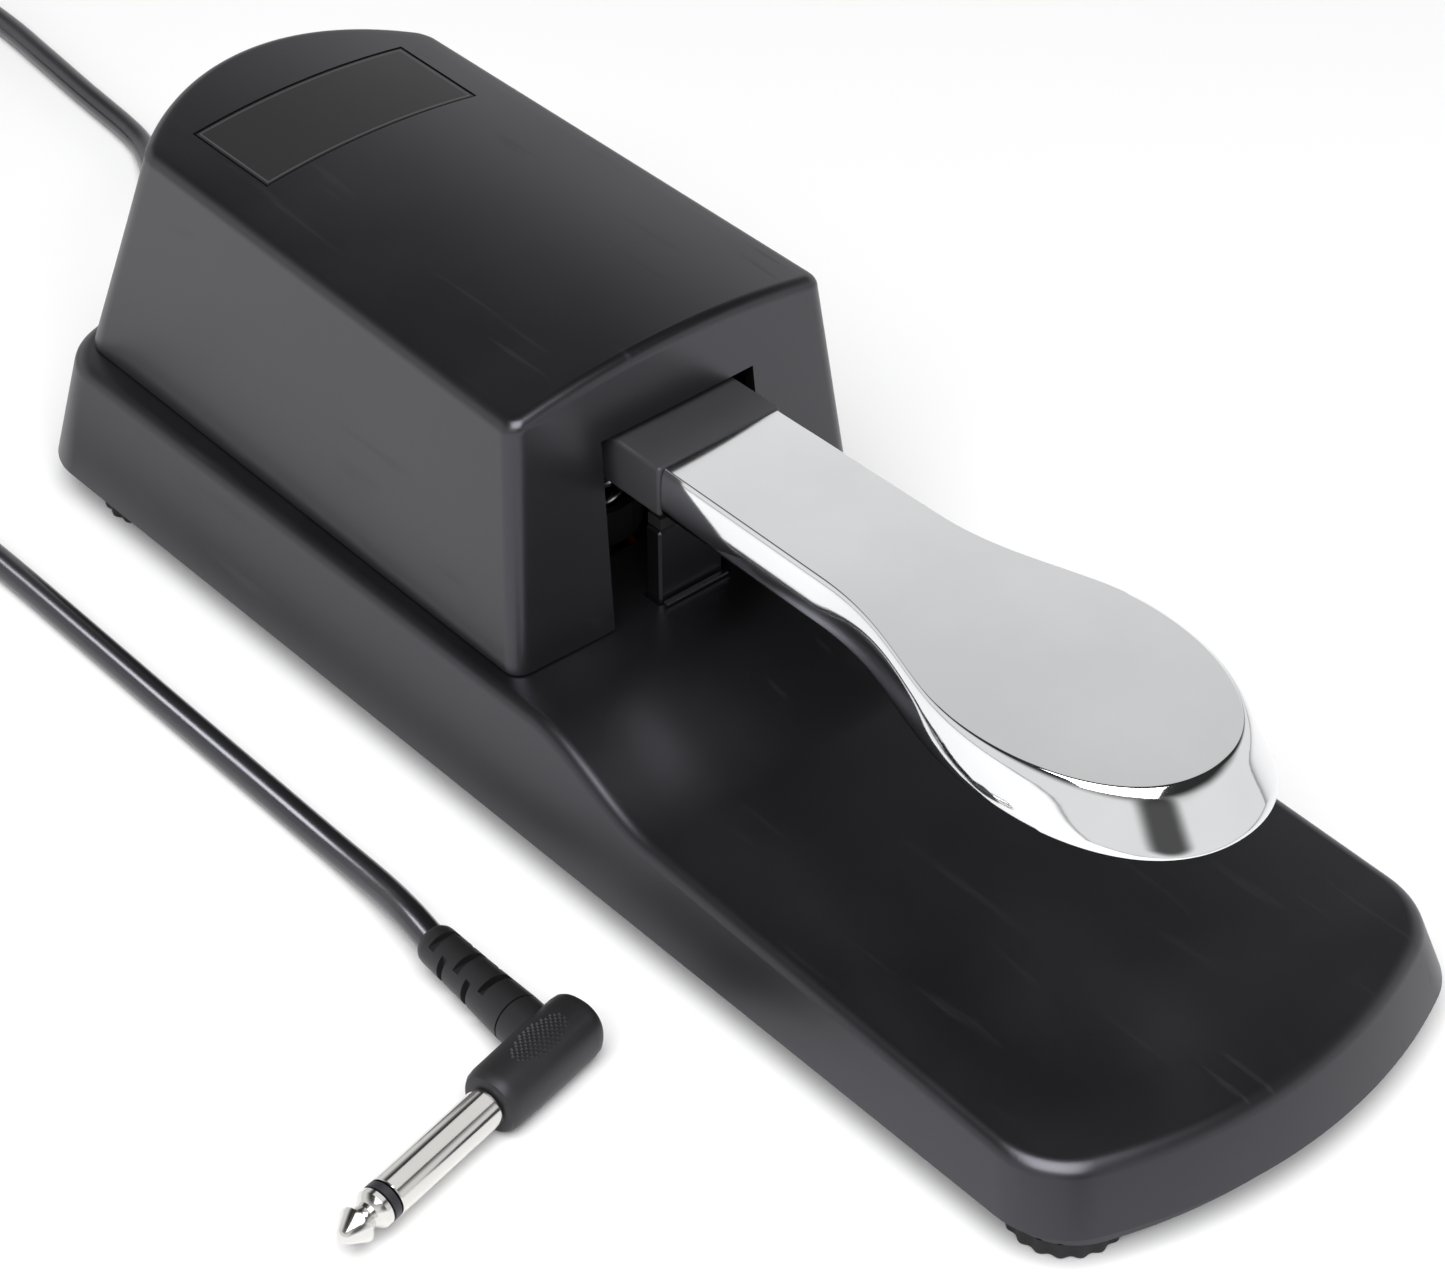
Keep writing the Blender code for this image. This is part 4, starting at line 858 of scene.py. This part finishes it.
def make_spring():
    """Round coil spring from its seat up to the underside of the lever's channel."""
    wire, radius, turns, per_turn = 0.8 * MM, 6.4 * MM, 7, 40
    low, high = SPRING_FOOT_Z + wire, ARM_TOP_Z - ARM_SHEET - GAP - wire
    rings = []
    for i in range(turns * per_turn + 1):
        angle = 2 * pi * i / per_turn
        out = Vector((cos(angle), sin(angle), 0))
        middle = Vector((0, SPRING_Y, low + (high - low) * i / (turns * per_turn))) + radius * out
        rings.append([tuple(middle + wire * (cos(a) * out + sin(a) * Vector((0, 0, 1))))
                      for a in [2 * pi * k / 12 for k in range(12)]])
    spring = bake(loft("coil_spring", rings))
    finish_piece(spring, "spring_steel", "base", ["return_spring"])
    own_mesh(spring)


def make_feet():
    """Scalloped rubber feet with a rounded lower edge and a sunk screw."""
    for node in frame["nodes"]:
        if not node.startswith("foot_") or node.count("_") != 2 or "plate" in node or "screw" in node:
            continue
        low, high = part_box(node)
        centre = (low + high) / 2
        levels = (
            (high.z, 0.0), (low.z + 1.0 * MM, 0.0), (low.z + 0.4 * MM, 0.12), (low.z + 0.1 * MM, 0.4),
            (low.z, 0.8),
        )
        rings = []
        for z, pull in levels:
            ring = []
            for i in range(FOOT_STEPS):
                angle = 2 * pi * i / FOOT_STEPS
                reach = FOOT_RADIUS - FOOT_DIP * (1 - cos(FOOT_SCALLOPS * angle)) / 2 - pull * MM
                ring.append((centre.x + reach * cos(angle), centre.y + reach * sin(angle), z))
            rings.append(ring)
        foot = loft(node + "_rubber", rings)
        place = Vector((centre.x, centre.y, 0.0))
        under = place + Vector((0, 0, -2 * MM))
        cut(foot, rod("foot_bore", under, place + Vector((0, 0, 10 * MM)), SCREW_HOLE))
        cut(foot, rod("foot_sink", under, place + Vector((0, 0, 2.4 * MM)), 3.4 * MM))
        bake(foot, 40.0)
        finish_piece(foot, "rubber", "base", [node])


make_base()
make_housing()
lever_channel = make_arm()
foot_plate = make_foot_plate()
make_feet()
make_spring()


# ---- floor and light ------------------------------------------------------------------------------
def make_floor():
    floor = box("studio_floor", (-4.0, -4.0, -0.02), (4.0, 4.0, 0.0))
    n = Nodes("floor_look")
    cloud = n.noise(3.0, 3.0)
    n.tint(cloud, (0.88, 0.88, 0.88), (0.90, 0.90, 0.90))
    n.link(n.span(cloud, 0.3, 0.7, 0.7, 0.8), n.shader.inputs["Roughness"])
    n.shader.inputs["Specular IOR Level"].default_value = 0.2
    floor.data.materials.append(n.made)


def area_light(name, place, target, size, radiance):
    """A rectangular softbox of even radiance, not seen directly."""
    data = bpy.data.lights.new(name, "AREA")
    data.shape = "RECTANGLE"
    data.size, data.size_y = size
    data.energy = radiance * pi * size[0] * size[1]
    lamp = bpy.data.objects.new(name, data)
    bpy.context.scene.collection.objects.link(lamp)
    lamp.location = place
    lamp.rotation_mode = "QUATERNION"
    lamp.rotation_quaternion = (Vector(target) - Vector(place)).to_track_quat("-Z", "Y")
    lamp.visible_camera = False
    return lamp


def make_tent():
    """A pale light tent: bright low down, dark overhead, and with one dark opening."""
    world = bpy.data.worlds.new("tent")
    world.use_nodes = True
    tree = world.node_tree
    background = tree.nodes["Background"]
    background.inputs["Color"].default_value = (1.0, 1.0, 1.0, 1.0)
    place = tree.nodes.new("ShaderNodeTexCoord").outputs["Generated"]

    def ramp(source, low, high, new_low, new_high):
        node = tree.nodes.new("ShaderNodeMapRange")
        node.interpolation_type = "SMOOTHSTEP"
        for key, value in (("From Min", low), ("From Max", high), ("To Min", new_low), ("To Max", new_high)):
            node.inputs[key].default_value = value
        tree.links.new(source, node.inputs["Value"])
        return node.outputs["Result"]

    def towards(direction):
        node = tree.nodes.new("ShaderNodeVectorMath")
        node.operation = "DOT_PRODUCT"
        node.inputs[1].default_value = direction
        tree.links.new(place, node.inputs[0])
        return node.outputs["Value"]

    def times(a, b):
        node = tree.nodes.new("ShaderNodeMath")
        node.operation = "MULTIPLY"
        for socket, value in zip(node.inputs, (a, b)):
            tree.links.new(value, socket)
        return node.outputs["Value"]

    walls = ramp(towards((0.0, 0.0, 1.0)), *TENT_FADE, TENT_WALLS, TENT_TOP)
    front_opening = ramp(towards(TENT_OPENING), 0.93, 0.99, 1.0, 0.10)
    tree.links.new(times(walls, front_opening), background.inputs["Strength"])
    bpy.context.scene.world = world


def only_for(lamp, pieces):
    """Lets a light reach these pieces and nothing else."""
    lit = bpy.data.collections.new(lamp.name + "_pieces")
    for piece in pieces:
        lit.objects.link(piece)
    lamp.light_linking.receiver_collection = lit


def make_light():
    bpy.context.scene.view_settings.view_transform = "Standard"
    make_tent()
    area_light("overhead", (-0.55, -0.55, 1.4), (0.0, 0.0, 0.0), (1.3, 1.3), OVERHEAD_RADIANCE)
    rear_strip = area_light(
        "rear_strip", (-0.36, 0.70, 0.90), (-0.03, 0.20, 0.02), (0.3, 0.6), STRIP_RADIANCE)
    only_for(rear_strip, [cord, boot])
    plate_card = area_light(
        "plate_card", (0.315, 0.24, 0.42), (0.0, -0.07, 0.06), (0.36, 0.40), PLATE_CARD_RADIANCE)
    only_for(plate_card, [foot_plate, lever_channel])
    sleeve_card = area_light(
        "sleeve_card", (0.16, -0.03, 0.38), (-0.09, -0.05, 0.005), (0.5, 0.5), SLEEVE_CARD_RADIANCE)
    only_for(sleeve_card, plug_metal)


make_floor()
make_light()
